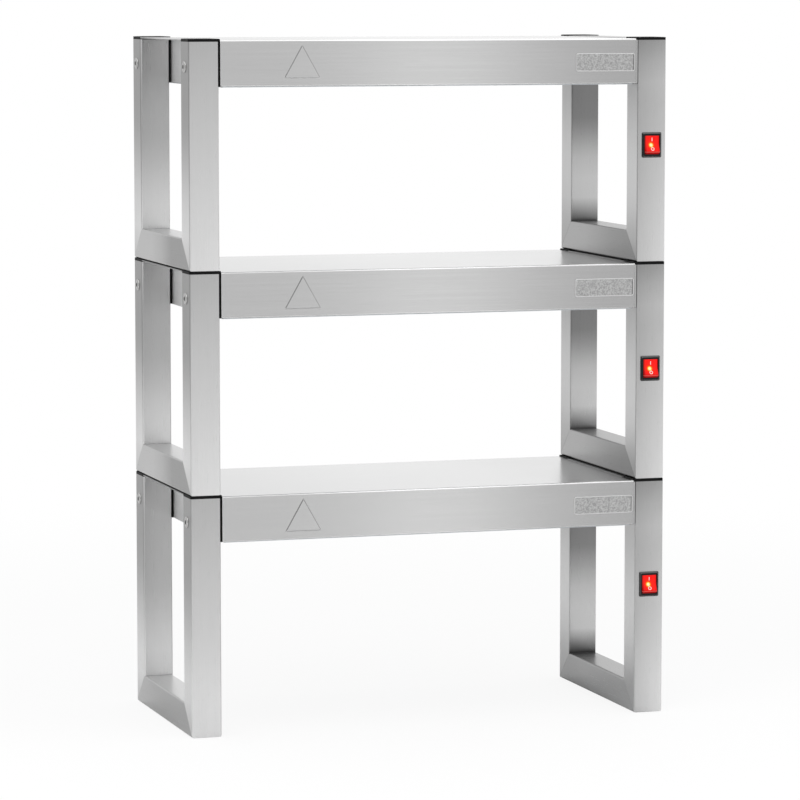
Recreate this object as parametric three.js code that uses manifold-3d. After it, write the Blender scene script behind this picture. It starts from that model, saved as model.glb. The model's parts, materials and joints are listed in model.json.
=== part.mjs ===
// Heated food gantry for a counter: three stainless steel bridge tiers stacked on one another.
// Each tier has two U-shaped side frames of mitred box tube and a heated shelf hung between them.
// Moulded caps close the legs, carry the next tier and insulate the shelf from the legs.
// A lit rocker switch in the right front leg turns each shelf on and off.
// Millimetres, +X to the right, +Z up, the front faces -Y. The origin is on the counter, under the middle.
import * as THREE from "three";
import { mergeVertices } from "three/addons/utils/BufferGeometryUtils.js";
import Module from "manifold-3d";

const wasm = await Module();
wasm.setup();

// Driving dimensions of the whole gantry
const overallWidth = 650;
const overallDepth = 292;
const lowerTierHeight = 315;
const middleTierHeight = 289;
const upperTierHeight = 296;

// Side frames: square box tube, mitred and welded at the two bottom corners
const tubeSize = 40;
const tubeWall = 1.5;
const tubeCornerRadius = 2.5;
const mitreGrooveWidth = 0.6;
const mitreGrooveDepth = 0.3;

// Shelf: one folded sheet with skirts, end walls and two wings between the legs
const skirtHeight = 59;
const shelfSheet = 1.2;
const foldRadius = 2.4;
const lipWidth = 15;
const shelfDrop = 2;
const wingClearance = 0.5;
const coverInset = 3;
const coverSheet = 1.2;

// Leg caps: a flange on the tube, a ribbed plug inside it and a tongue beside the shelf
const capFlange = 4;
const capEdge = 0.8;
const tongueThickness = 2;
const plugDepth = 14;
const plugWall = 2;
const finReach = 1.1;
const finThickness = 1.2;
const finCount = 2;
const plugClearance = 0.3;

// Button-head screws, one through each leg into a nut welded inside the shelf's end wall
const screwDrop = 36;
const screwDiameter = 8;
const screwHeadDiameter = 14;
const screwHeadHeight = 4.4;
const screwSocketWidth = 5;
const screwSocketDepth = 2.6;
const screwHoleClearance = 0.4;
const nutDiameter = 13;
const nutLength = 12;

// Rocker switch: bezel on the leg, housing behind it, rocker on two trunnions
const switchDrop = 142;
const bezelWidth = 27.5;
const bezelHeight = 33.5;
const bezelThickness = 3;
const bezelBevel = 1.8;
const bezelLip = 1.5;
const rockerWidth = 20;
const rockerHalfLength = 11;
const rockerFaceOffset = 4.5;
const rockerFaceAngle = THREE.MathUtils.degToRad(12);
const rockerEdge = 0.4;
const rockerSunk = 1.2;
const rockerClearance = 0.3;
const trunnionDiameter = 3;
const housingWall = 1.1;
const housingDepth = 15;
const housingFloor = 3;
const cutoutClearance = 0.3;
const terminalWidth = 6.3;
const terminalThickness = 0.8;
const terminalLength = 6.5;
const terminalPitch = 9;

// Inside the shelf: heating mat, insulation, thermostat, terminal block and wiring
const matThickness = 2;
const matMargin = 8;
const wiringBay = 62;
const leftBay = 24;
const battClearance = 1;
const thermostatDiameter = 24;
const thermostatCan = 16;
const thermostatHeight = 12;
const thermostatFlange = 1.5;
const thermostatSetback = 34;
const blockLength = 22;
const blockWidth = 24;
const blockHeight = 17;
const blockSetback = 20;
const blockTowers = 3;
const blockSlot = 2.4;
const loomDiameter = 6;
const loomHoleDiameter = 8;
const loomBend = 8;
const loomDrop = 51;
const loomGap = 0.3;
const loomWallGap = 2.4;

// Cable gland in the rear skirt: hexagon, domed nut and lock nut on one threaded sleeve
const glandThread = 12;
const glandBore = 8;
const glandHexWidth = 19;
const glandHexLength = 4;
const glandDomeDiameter = 17;
const glandDomeLength = 12;
const glandLockLength = 4;
const glandSetback = 36;
const glandHoleClearance = 0.3;

// Facets of round forms, and how far a cutter runs past what it cuts
const roundSides = 16;
const holeSides = 10;
const cornerSteps = 2;
const domeSteps = 3;
const loomSides = 6;
const loomSteps = 18;
const cutOverrun = 5;

// Places that follow from the sizes above
const halfWidth = overallWidth / 2;
const halfDepth = overallDepth / 2;
const legX = halfWidth - tubeSize / 2;
const legY = halfDepth - tubeSize / 2;
const shelfEnd = halfWidth - tubeSize - tongueThickness;
const rockerCornerY = -rockerFaceOffset - rockerHalfLength * Math.tan(rockerFaceAngle);
const rockerRadius = Math.hypot(rockerHalfLength, rockerCornerY);
const pivotY = rockerSunk + rockerFaceOffset * Math.cos(rockerFaceAngle) - bezelThickness;
const lipBackY = bezelLip - bezelThickness;
const windowReach = Math.sqrt(rockerRadius ** 2 - (pivotY - lipBackY) ** 2) + rockerClearance;
const housingWidth = rockerWidth + 2 * (rockerClearance + housingWall);
const housingHeight = 2 * (rockerRadius + rockerClearance + housingWall);
const loomStartY = -halfDepth + housingDepth + terminalLength + loomGap;
const loomY = -halfDepth + tubeSize - tubeWall - loomDiameter / 2 - loomWallGap;

const steel = () => new THREE.MeshStandardMaterial({ color: 0xc4c6c8, roughness: 0.32, metalness: 1 });
const blackMoulding = () => new THREE.MeshStandardMaterial({ color: 0x1b1b1c, roughness: 0.5, metalness: 0 });
const screwSteel = () => new THREE.MeshStandardMaterial({ color: 0xa9abad, roughness: 0.28, metalness: 1 });
const litRed = () => new THREE.MeshStandardMaterial({ color: 0xe0180c, roughness: 0.25, metalness: 0 });
const silicone = () => new THREE.MeshStandardMaterial({ color: 0xb5522c, roughness: 0.7, metalness: 0 });
const mineralWool = () => new THREE.MeshStandardMaterial({ color: 0xd8cfae, roughness: 0.95, metalness: 0 });
const ceramic = () => new THREE.MeshStandardMaterial({ color: 0xe6e2d8, roughness: 0.4, metalness: 0 });
const galvanised = () => new THREE.MeshStandardMaterial({ color: 0xa4a8aa, roughness: 0.5, metalness: 1 });
const darkSleeve = () => new THREE.MeshStandardMaterial({ color: 0x2a2a2c, roughness: 0.8, metalness: 0 });

// A closed three.js geometry as a manifold-3d solid, with its shared vertices merged.
function solidOf(geometry) {
  const bare = geometry.index ? geometry.toNonIndexed() : geometry.clone();
  bare.deleteAttribute("normal");
  bare.deleteAttribute("uv");
  const merged = mergeVertices(bare);
  const mesh = new wasm.Mesh({
    numProp: 3,
    vertProperties: new Float32Array(merged.attributes.position.array),
    triVerts: new Uint32Array(merged.index.array),
  });
  return new wasm.Manifold(mesh);
}

// A manifold-3d solid as a three.js geometry with flat faces.
function geometryOf(solid) {
  const mesh = solid.getMesh();
  const geometry = new THREE.BufferGeometry();
  const corners = new Float32Array(mesh.numVert * 3);
  for (let i = 0; i < mesh.numVert; i += 1) {
    corners.set(mesh.vertProperties.subarray(i * mesh.numProp, i * mesh.numProp + 3), i * 3);
  }
  geometry.setAttribute("position", new THREE.BufferAttribute(corners, 3));
  geometry.setIndex(new THREE.BufferAttribute(new Uint32Array(mesh.triVerts), 1));
  geometry.computeVertexNormals();
  return geometry;
}

const joined = (parts) => parts.reduce((sum, part) => sum.add(part));
const cut = (body, cutters) => cutters.reduce((rest, cutter) => rest.subtract(cutter), body);

// A box between two opposite corners.
function boxBetween(low, high) {
  const size = high.map((value, axis) => value - low[axis]);
  const geometry = new THREE.BoxGeometry(...size);
  geometry.translate(...low.map((value, axis) => value + size[axis] / 2));
  return solidOf(geometry);
}

// A round or polygonal bar along an axis, centred on a point.
function barAlong(axis, diameter, length, centre, sides = holeSides) {
  const geometry = new THREE.CylinderGeometry(diameter / 2, diameter / 2, length, sides);
  turnFromY(geometry, axis);
  geometry.translate(...centre);
  return solidOf(geometry);
}

// Turns a geometry made along Y so that it lies along the named axis.
function turnFromY(geometry, axis) {
  if (axis === "x") geometry.rotateZ(-Math.PI / 2);
  if (axis === "z") geometry.rotateX(Math.PI / 2);
}

// An outline in (Y, Z) carried along X, centred on x = 0, with its end edges rounded if edge is given.
// Arcs in an outline take twice curveSegments.
function prismAlongX(shape, length, edge = 0) {
  const geometry = new THREE.ExtrudeGeometry(shape, {
    depth: length - 2 * edge,
    bevelEnabled: edge > 0,
    bevelThickness: edge,
    bevelSize: edge,
    bevelOffset: -edge,
    bevelSegments: cornerSteps,
    curveSegments: cornerSteps / 2,
  });
  geometry.translate(0, 0, edge - length / 2);
  geometry.rotateX(Math.PI / 2);
  geometry.rotateZ(Math.PI / 2);
  return solidOf(geometry);
}

// An outline in (X, Y) raised along Z from z = 0, with its top and bottom edges broken if edge is given.
function blockAlongZ(shape, height, edge = 0) {
  const geometry = new THREE.ExtrudeGeometry(shape, {
    depth: height - 2 * edge,
    bevelEnabled: edge > 0,
    bevelThickness: edge,
    bevelSize: edge,
    bevelOffset: -edge,
    bevelSegments: 1,
    curveSegments: cornerSteps / 2,
  });
  geometry.translate(0, 0, edge);
  return solidOf(geometry);
}

// A rectangle with round corners between two corners of the drawing plane.
function roundedRectangle(left, bottom, right, top, radius) {
  const shape = new THREE.Shape();
  shape.moveTo(left + radius, bottom);
  shape.lineTo(right - radius, bottom);
  shape.absarc(right - radius, bottom + radius, radius, -Math.PI / 2, 0);
  shape.lineTo(right, top - radius);
  shape.absarc(right - radius, top - radius, radius, 0, Math.PI / 2);
  shape.lineTo(left + radius, top);
  shape.absarc(left + radius, top - radius, radius, Math.PI / 2, Math.PI);
  shape.lineTo(left, bottom + radius);
  shape.absarc(left + radius, bottom + radius, radius, Math.PI, Math.PI * 1.5);
  return shape;
}

// A square with its four corners cut off straight, centred in the drawing plane.
function cutCornerSquare(half, cornerCut) {
  const near = half - cornerCut;
  const quarter = [[half, near], [near, half]];
  const turned = quarter.map(([x, y]) => [-y, x]);
  const corners = [...quarter, ...turned];
  const opposite = corners.map(([x, y]) => [-x, -y]);
  return new THREE.Shape([...corners, ...opposite].map(([x, y]) => new THREE.Vector2(x, y)));
}

// The U of a side frame in (Y, Z): two legs on a bottom rail, all drawn inset from the tube's faces.
function frameOutline(legTop, inset) {
  const outer = halfDepth - inset;
  const inner = halfDepth - tubeSize + inset;
  const floor = inset;
  const railTop = tubeSize - inset;
  const shape = new THREE.Shape();
  shape.moveTo(-outer, floor);
  shape.lineTo(outer, floor);
  shape.lineTo(outer, legTop);
  shape.lineTo(inner, legTop);
  shape.lineTo(inner, railTop);
  shape.lineTo(-inner, railTop);
  shape.lineTo(-inner, legTop);
  shape.lineTo(-outer, legTop);
  return shape;
}

// A V-shaped groove along one mitre: from the outer bottom corner to the inner corner of the frame.
function mitreGroove(end, face) {
  const run = tubeSize * Math.SQRT2 + 2 * cutOverrun;
  const geometry = new THREE.CylinderGeometry(mitreGrooveDepth, mitreGrooveDepth, run, 4);
  geometry.scale(1, 1, mitreGrooveWidth / (2 * mitreGrooveDepth));
  geometry.rotateX(Math.PI / 2 + end * Math.PI / 4);
  geometry.translate(face * tubeSize / 2, end * legY, tubeSize / 2);
  return solidOf(geometry);
}

// One side frame, standing on z = 0 with its tube centred on x = 0. side is -1 left, 1 right.
function sideFrame(side, tierHeight) {
  const legTop = tierHeight - capFlange;
  const tube = prismAlongX(frameOutline(legTop + cutOverrun, 0), tubeSize, tubeCornerRadius);
  const cavity = prismAlongX(
    frameOutline(legTop + 2 * cutOverrun, tubeWall),
    tubeSize - 2 * tubeWall,
    tubeCornerRadius - tubeWall,
  );
  const sawTop = boxBetween(
    [-tubeSize, -halfDepth - cutOverrun, legTop],
    [tubeSize, halfDepth + cutOverrun, legTop + 3 * cutOverrun],
  );
  const cutters = [cavity, sawTop];
  for (const end of [-1, 1]) {
    cutters.push(barAlong(
      "x",
      screwDiameter + 2 * screwHoleClearance,
      tubeSize + 2 * cutOverrun,
      [0, end * legY, tierHeight - screwDrop],
    ));
    for (const face of [-1, 1]) cutters.push(mitreGroove(end, face));
  }
  if (side > 0) cutters.push(...switchCutters(tierHeight));
  return geometryOf(cut(tube, cutters));
}

// Openings of the right front leg: the switch's cut-out in front, the wiring's hole towards the shelf.
function switchCutters(tierHeight) {
  const z = tierHeight - switchDrop;
  const x = housingWidth / 2 + cutoutClearance;
  const reach = housingHeight / 2 + cutoutClearance;
  return [
    boxBetween([-x, -halfDepth - cutOverrun, z - reach], [x, -halfDepth + tubeWall + cutOverrun, z + reach]),
    barAlong(
      "x",
      loomHoleDiameter,
      tubeSize,
      [-tubeSize / 2, loomY, tierHeight - loomDrop],
    ),
  ];
}

// The shelf's folded section in (Y, Z), hung down from z = 0: plate, two skirts and two lips.
function shelfSection() {
  const inner = foldRadius - shelfSheet;
  const shape = new THREE.Shape();
  shape.moveTo(lipWidth - halfDepth, -skirtHeight);
  shape.lineTo(lipWidth - halfDepth, shelfSheet - skirtHeight);
  shape.lineTo(foldRadius - halfDepth, shelfSheet - skirtHeight);
  shape.absarc(foldRadius - halfDepth, foldRadius - skirtHeight, inner, -Math.PI / 2, -Math.PI, true);
  shape.lineTo(shelfSheet - halfDepth, -foldRadius);
  shape.absarc(foldRadius - halfDepth, -foldRadius, inner, Math.PI, Math.PI / 2, true);
  shape.lineTo(halfDepth - foldRadius, -shelfSheet);
  shape.absarc(halfDepth - foldRadius, -foldRadius, inner, Math.PI / 2, 0, true);
  shape.lineTo(halfDepth - shelfSheet, foldRadius - skirtHeight);
  shape.absarc(halfDepth - foldRadius, foldRadius - skirtHeight, inner, 0, -Math.PI / 2, true);
  shape.lineTo(halfDepth - lipWidth, shelfSheet - skirtHeight);
  shape.lineTo(halfDepth - lipWidth, -skirtHeight);
  shape.lineTo(halfDepth - foldRadius, -skirtHeight);
  shape.absarc(halfDepth - foldRadius, foldRadius - skirtHeight, foldRadius, -Math.PI / 2, 0);
  shape.lineTo(halfDepth, -foldRadius);
  shape.absarc(halfDepth - foldRadius, -foldRadius, foldRadius, 0, Math.PI / 2);
  shape.lineTo(foldRadius - halfDepth, 0);
  shape.absarc(foldRadius - halfDepth, -foldRadius, foldRadius, Math.PI / 2, Math.PI);
  shape.lineTo(-halfDepth, foldRadius - skirtHeight);
  shape.absarc(foldRadius - halfDepth, foldRadius - skirtHeight, foldRadius, Math.PI, Math.PI * 1.5);
  return shape;
}

// The shelf's shell, its top face at z = 0: folded sheet, end walls, wings and welded nuts.
function shelfShell() {
  const screwZ = shelfDrop - screwDrop;
  const endWall = roundedRectangle(-halfDepth, -skirtHeight, halfDepth, 0, foldRadius);
  const parts = [prismAlongX(shelfSection(), 2 * shelfEnd)];
  const cutters = [];
  const wingY = halfDepth - tubeSize - wingClearance;
  for (const side of [-1, 1]) {
    const wallX = side * (shelfEnd - shelfSheet / 2);
    parts.push(prismAlongX(endWall, shelfSheet).translate(wallX, 0, 0));
    const ends = [side * (shelfEnd - shelfSheet), side * halfWidth].sort((a, b) => a - b);
    parts.push(boxBetween([ends[0], -wingY, -shelfSheet], [ends[1], wingY, 0]));
    for (const end of [-1, 1]) {
      const nutX = side * (shelfEnd - nutLength / 2);
      parts.push(barAlong("x", nutDiameter, nutLength, [nutX, end * legY, screwZ], roundSides));
      cutters.push(barAlong(
        "x",
        screwDiameter + 2 * screwHoleClearance,
        nutLength + 2 * cutOverrun,
        [nutX, end * legY, screwZ],
      ));
    }
  }
  cutters.push(barAlong("x", loomHoleDiameter, 2 * cutOverrun, [shelfEnd, loomY, shelfDrop - loomDrop]));
  cutters.push(barAlong(
    "y",
    glandThread + 2 * glandHoleClearance,
    2 * cutOverrun,
    [shelfEnd - glandSetback, halfDepth, -skirtHeight / 2],
  ));
  return geometryOf(cut(joined(parts), cutters));
}

// The plate that closes the shelf from below, screwed up against the lips, its top face at z = 0.
function baseCover() {
  const x = shelfEnd - coverInset;
  const y = halfDepth - coverInset;
  const plate = blockAlongZ(roundedRectangle(-x, -y, x, y, foldRadius), coverSheet);
  return geometryOf(plate.translate(0, 0, -coverSheet));
}

// The silicone mat that heats the shelf, its top face at z = 0.
function heatingMat() {
  const y = halfDepth - foldRadius - matMargin;
  const shape = roundedRectangle(leftBay - shelfEnd, -y, shelfEnd - wiringBay, y, matMargin);
  return geometryOf(blockAlongZ(shape, matThickness).translate(0, 0, -matThickness));
}

// The insulating batt between the mat and the cover, its top face at z = 0.
function insulationBatt() {
  const y = halfDepth - lipWidth - battClearance;
  const height = skirtHeight - shelfSheet - matThickness;
  return geometryOf(boxBetween([leftBay - shelfEnd, -y, -height], [shelfEnd - wiringBay, y, 0]));
}

// A moulded leg cap for one corner, with the cap's top face at z = 0. side is -1 left, 1 right.
function legCap(side, hasLoomHole) {
  const half = tubeSize / 2;
  const inner = -side * (half + tongueThickness);
  const left = Math.min(side * half, inner);
  const right = Math.max(side * half, inner);
  const flangePlan = roundedRectangle(left, -half, right, half, tubeCornerRadius);
  const flangeBlock = blockAlongZ(flangePlan, capFlange + cutOverrun, capEdge);
  const flange = flangeBlock.translate(0, 0, -capFlange - cutOverrun);
  const sawBottom = boxBetween(
    [-tubeSize, -tubeSize, -capFlange - 2 * cutOverrun],
    [tubeSize, tubeSize, -capFlange],
  );
  const tongueX = [-side * half, inner].sort((a, b) => a - b);
  const tongue = boxBetween(
    [tongueX[0], -half, -shelfDrop - skirtHeight],
    [tongueX[1], half, -capFlange],
  );
  const holes = [barAlong(
    "x",
    screwDiameter + 2 * screwHoleClearance,
    2 * tubeSize,
    [-side * tubeSize, 0, -screwDrop],
  )];
  if (hasLoomHole) {
    holes.push(barAlong("x", loomHoleDiameter, 2 * tubeSize, [-side * tubeSize, loomY + legY, -loomDrop]));
  }
  return geometryOf(cut(joined([cut(flange, [sawBottom]), legPlug(), tongue]), holes));
}

// The hollow plug below a cap's flange, with lamella fins that grip the inside of the tube.
function legPlug() {
  const fin = tubeSize / 2 - tubeWall - plugClearance;
  const core = fin - finReach;
  const hollow = core - plugWall;
  const bottom = -capFlange - plugDepth;
  const parts = [boxBetween([-core, -core, bottom], [core, core, -capFlange])];
  const pitch = plugDepth / finCount;
  for (let i = 0; i < finCount; i += 1) {
    const plate = blockAlongZ(cutCornerSquare(fin, tubeCornerRadius - tubeWall), finThickness);
    parts.push(plate.translate(0, 0, bottom + i * pitch));
  }
  const well = boxBetween([-hollow, -hollow, bottom - cutOverrun], [hollow, hollow, -capFlange]);
  return cut(joined(parts), [well]);
}

// A button-head screw along X: the head's seat at x = 0, its dome towards +X.
function buttonScrew() {
  const headRadius = screwHeadDiameter / 2;
  const shankLength = tubeSize + tongueThickness + nutLength;
  const domeRadius = (headRadius ** 2 + screwHeadHeight ** 2) / (2 * screwHeadHeight);
  const domeAngle = Math.asin(headRadius / domeRadius);
  const profile = [new THREE.Vector2(0, -shankLength), new THREE.Vector2(screwDiameter / 2, -shankLength)];
  profile.push(new THREE.Vector2(screwDiameter / 2, 0));
  for (let i = 0; i <= domeSteps; i += 1) {
    const angle = domeAngle * (1 - i / domeSteps);
    const lift = screwHeadHeight - domeRadius * (1 - Math.cos(angle));
    profile.push(new THREE.Vector2(domeRadius * Math.sin(angle), lift));
  }
  const turned = new THREE.LatheGeometry(profile, roundSides);
  const socket = new THREE.CylinderGeometry(
    screwSocketWidth / Math.sqrt(3),
    screwSocketWidth / Math.sqrt(3),
    screwSocketDepth + cutOverrun,
    6,
  );
  socket.translate(0, screwHeadHeight - screwSocketDepth + (screwSocketDepth + cutOverrun) / 2, 0);
  const geometry = geometryOf(cut(solidOf(turned), [solidOf(socket)]));
  turnFromY(geometry, "x");
  return geometry;
}

// The fixed part of the switch: bezel on the leg's face at y = 0, housing behind it, three terminals.
function switchBody() {
  const bezelPlan = new THREE.Shape();
  bezelPlan.moveTo(-bezelWidth / 2, -bezelHeight / 2);
  bezelPlan.lineTo(bezelWidth / 2, -bezelHeight / 2);
  bezelPlan.lineTo(bezelWidth / 2, bezelHeight / 2);
  bezelPlan.lineTo(-bezelWidth / 2, bezelHeight / 2);
  const bezelGeometry = new THREE.ExtrudeGeometry(bezelPlan, {
    depth: cutOverrun,
    bevelThickness: bezelThickness,
    bevelSize: bezelBevel,
    bevelOffset: -bezelBevel,
    bevelSegments: 1,
  });
  bezelGeometry.translate(0, 0, -cutOverrun);
  bezelGeometry.rotateX(Math.PI / 2);
  const behindPanel = boxBetween([-bezelWidth, 0, -bezelHeight], [bezelWidth, 3 * cutOverrun, bezelHeight]);
  const bezel = solidOf(bezelGeometry).subtract(behindPanel);
  const x = housingWidth / 2;
  const z = housingHeight / 2;
  const housing = boxBetween([-x, lipBackY, -z], [x, housingDepth, z]);
  const pocketX = rockerWidth / 2 + rockerClearance;
  const pocketZ = rockerRadius + rockerClearance;
  const pocket = boxBetween([-pocketX, lipBackY, -pocketZ], [pocketX, housingDepth - housingFloor, pocketZ]);
  const window = boxBetween(
    [-pocketX, -bezelThickness - cutOverrun, -windowReach],
    [pocketX, cutOverrun, windowReach],
  );
  const sockets = barAlong(
    "x",
    trunnionDiameter + 2 * rockerClearance,
    housingWidth + 2 * cutOverrun,
    [0, pivotY, 0],
  );
  const terminals = [-1, 0, 1].map((row) => boxBetween(
    [-terminalWidth / 2, housingDepth - housingFloor / 2, row * terminalPitch - terminalThickness / 2],
    [terminalWidth / 2, housingDepth + terminalLength, row * terminalPitch + terminalThickness / 2],
  ));
  return geometryOf(joined([cut(joined([bezel, housing]), [pocket, window, sockets]), ...terminals]));
}

// The rocker about its trunnions at the origin, in the on position: its upper half pressed in.
function rocker() {
  const cornerAngle = Math.atan2(rockerHalfLength, rockerCornerY);
  const backAngle = Math.PI / 2 - rockerFaceAngle;
  const profile = new THREE.Shape();
  profile.moveTo(-rockerFaceOffset, 0);
  profile.lineTo(rockerCornerY, -rockerHalfLength);
  profile.absarc(0, 0, rockerRadius, -cornerAngle, -backAngle);
  profile.lineTo(rockerRadius * Math.cos(backAngle), rockerRadius * Math.sin(backAngle));
  profile.absarc(0, 0, rockerRadius, backAngle, cornerAngle);
  const body = prismAlongX(profile, rockerWidth, rockerEdge);
  const trunnions = barAlong("x", trunnionDiameter, housingWidth, [0, 0, 0]);
  return geometryOf(body.add(trunnions)).rotateX(-rockerFaceAngle);
}

// A disc thermostat hanging from its flange, whose top face is at z = 0.
function thermostat() {
  const outline = [
    [0, 0],
    [thermostatDiameter / 2, 0],
    [thermostatDiameter / 2, -thermostatFlange],
    [thermostatCan / 2, -thermostatFlange],
    [thermostatCan / 2, -thermostatHeight],
    [0, -thermostatHeight],
  ];
  const points = outline.map(([r, z]) => new THREE.Vector2(r, z)).reverse();
  const turned = new THREE.LatheGeometry(points, roundSides);
  turned.rotateX(Math.PI / 2);
  const blades = [-1, 1].map((side) => {
    const middle = side * thermostatCan / 4;
    return boxBetween(
      [-terminalWidth / 2, middle - terminalThickness / 2, -thermostatHeight - terminalLength],
      [terminalWidth / 2, middle + terminalThickness / 2, -thermostatHeight + terminalThickness],
    );
  });
  return geometryOf(joined([solidOf(turned), ...blades]));
}

// A ceramic terminal block standing on z = 0: a base with towers parted by slots across it.
function terminalBlock() {
  const body = boxBetween(
    [-blockLength / 2, -blockWidth / 2, 0],
    [blockLength / 2, blockWidth / 2, blockHeight],
  );
  const pitch = blockWidth / blockTowers;
  const cutters = [];
  for (let i = 0; i < blockTowers; i += 1) {
    const y = (i + 0.5) * pitch - blockWidth / 2;
    cutters.push(barAlong("z", pitch / 2, blockHeight, [0, y, blockHeight]));
    if (i > 0) {
      const slotY = i * pitch - blockWidth / 2;
      cutters.push(boxBetween(
        [-blockLength, slotY - blockSlot / 2, blockHeight / 2],
        [blockLength, slotY + blockSlot / 2, blockHeight + cutOverrun],
      ));
    }
  }
  return geometryOf(cut(body, cutters));
}

// The sleeved wires from the switch up the leg and through its inner wall to the terminal block.
function wiringLoom(tierHeight) {
  const switchZ = tierHeight - switchDrop;
  const turnZ = switchZ + loomY - loomStartY;
  const passZ = tierHeight - loomDrop;
  const endX = shelfEnd - blockSetback + loomGap;
  const path = new THREE.CurvePath();
  const corner = (from, middle, to) => path.add(new THREE.QuadraticBezierCurve3(from, middle, to));
  const at = (x, y, z) => new THREE.Vector3(x, y, z);
  corner(at(legX, loomStartY, switchZ), at(legX, loomY, switchZ), at(legX, loomY, turnZ));
  path.add(new THREE.LineCurve3(at(legX, loomY, turnZ), at(legX, loomY, passZ - loomBend)));
  corner(at(legX, loomY, passZ - loomBend), at(legX, loomY, passZ), at(legX - loomBend, loomY, passZ));
  path.add(new THREE.LineCurve3(at(legX - loomBend, loomY, passZ), at(endX, loomY, passZ)));
  const section = new THREE.Shape().absarc(0, 0, loomDiameter / 2, 0, Math.PI * 2);
  const options = { extrudePath: path, steps: loomSteps, curveSegments: loomSides / 2 };
  return new THREE.ExtrudeGeometry(section, options);
}

// A cable gland along Y: the hexagon's seat at y = 0, the dome towards +Y, the lock nut inside the skirt.
function cableGland() {
  const hexDiameter = glandHexWidth / Math.cos(Math.PI / 6);
  const inside = -shelfSheet;
  const total = glandHexLength + glandDomeLength + shelfSheet + glandLockLength;
  const middle = (glandHexLength + glandDomeLength + inside - glandLockLength) / 2;
  const hexagon = barAlong("y", hexDiameter, glandHexLength, [0, glandHexLength / 2, 0], 6);
  const lock = barAlong("y", hexDiameter, glandLockLength, [0, inside - glandLockLength / 2, 0], 6);
  const sleeve = barAlong("y", glandThread, total, [0, middle, 0]);
  const domeRadius = glandDomeDiameter / 2;
  const nose = domeRadius - glandBore / 2;
  const profile = [[0, glandHexLength], [domeRadius, glandHexLength]];
  for (let i = 0; i <= domeSteps; i += 1) {
    const angle = i / domeSteps * Math.PI / 2;
    const r = domeRadius - nose / 2 * (1 - Math.cos(angle));
    profile.push([r, glandHexLength + glandDomeLength - nose / 2 * (1 - Math.sin(angle))]);
  }
  profile.push([0, glandHexLength + glandDomeLength]);
  const dome = new THREE.LatheGeometry(profile.map(([r, y]) => new THREE.Vector2(r, y)), roundSides);
  const bore = barAlong("y", glandBore, 2 * total, [0, middle, 0]);
  return geometryOf(cut(joined([hexagon, lock, sleeve, solidOf(dome)]), [bore]));
}

const gantry = new THREE.Group();

// Adds a named mesh to a group at a place.
function place(group, name, geometry, material, x, y, z) {
  const mesh = new THREE.Mesh(geometry, material);
  mesh.name = name;
  mesh.position.set(x, y, z);
  group.add(mesh);
  return mesh;
}

// Adds the caps and screws of a tier's four legs.
function addCorners(tier, name, tierHeight) {
  for (const [sideName, side] of [["left", -1], ["right", 1]]) {
    for (const [endName, end] of [["front", -1], ["rear", 1]]) {
      const corner = `${endName}_${sideName}`;
      const cap = legCap(side, side > 0 && end < 0);
      place(tier, `${name}_cap_${corner}`, cap, blackMoulding(), side * legX, end * legY, tierHeight);
      const screw = place(
        tier,
        `${name}_screw_${corner}`,
        buttonScrew(),
        screwSteel(),
        side * halfWidth,
        end * legY,
        tierHeight - screwDrop,
      );
      if (side < 0) screw.rotation.z = Math.PI;
    }
  }
}

// Adds one whole tier that stands on the height baseZ.
function addTier(name, baseZ, tierHeight) {
  const tier = new THREE.Group();
  tier.position.z = baseZ;
  gantry.add(tier);
  const shelfTop = tierHeight - shelfDrop;
  const underPlate = shelfTop - shelfSheet;
  const skirtBottom = shelfTop - skirtHeight;
  place(tier, `${name}_left_frame`, sideFrame(-1, tierHeight), steel(), -legX, 0, 0);
  place(tier, `${name}_right_frame`, sideFrame(1, tierHeight), steel(), legX, 0, 0);
  place(tier, `${name}_shelf_shell`, shelfShell(), steel(), 0, 0, shelfTop);
  place(tier, `${name}_base_cover`, baseCover(), galvanised(), 0, 0, skirtBottom);
  place(tier, `${name}_heating_mat`, heatingMat(), silicone(), 0, 0, underPlate);
  place(tier, `${name}_insulation`, insulationBatt(), mineralWool(), 0, 0, underPlate - matThickness);
  place(
    tier,
    `${name}_thermostat`,
    thermostat(),
    ceramic(),
    shelfEnd - thermostatSetback,
    0,
    underPlate,
  );
  place(
    tier,
    `${name}_terminal_block`,
    terminalBlock(),
    ceramic(),
    shelfEnd - blockSetback - blockLength / 2,
    loomY,
    skirtBottom,
  );
  place(tier, `${name}_wiring_loom`, wiringLoom(tierHeight), darkSleeve(), 0, 0, 0);
  place(
    tier,
    `${name}_cable_gland`,
    cableGland(),
    blackMoulding(),
    shelfEnd - glandSetback,
    halfDepth,
    shelfTop - skirtHeight / 2,
  );
  const switchZ = tierHeight - switchDrop;
  place(tier, `${name}_switch_body`, switchBody(), blackMoulding(), legX, -halfDepth, switchZ);
  place(tier, `${name}_rocker`, rocker(), litRed(), legX, pivotY - halfDepth, switchZ);
  addCorners(tier, name, tierHeight);
}

addTier("lower", 0, lowerTierHeight);
addTier("middle", lowerTierHeight, middleTierHeight);
addTier("upper", lowerTierHeight + middleTierHeight, upperTierHeight);

// The origin goes under the middle of everything, with the rockers in front and the glands behind.
const reach = new THREE.Box3().setFromObject(gantry);
gantry.position.y = -(reach.min.y + reach.max.y) / 2;

export default gantry;
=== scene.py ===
# %% [markdown]
# # A heated food gantry, from plain solids to brushed steel
#
# The gantry is three bridge tiers stacked on one another. Each tier is two U-shaped frames of
# square tube with a heated shelf between them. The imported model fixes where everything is, so
# this lesson only dresses it: each step says what a piece is, how it could be made, and why
# this way was chosen. Lengths are metres, +X is right, +Z is up and the front faces -Y.

import json
import math

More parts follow.
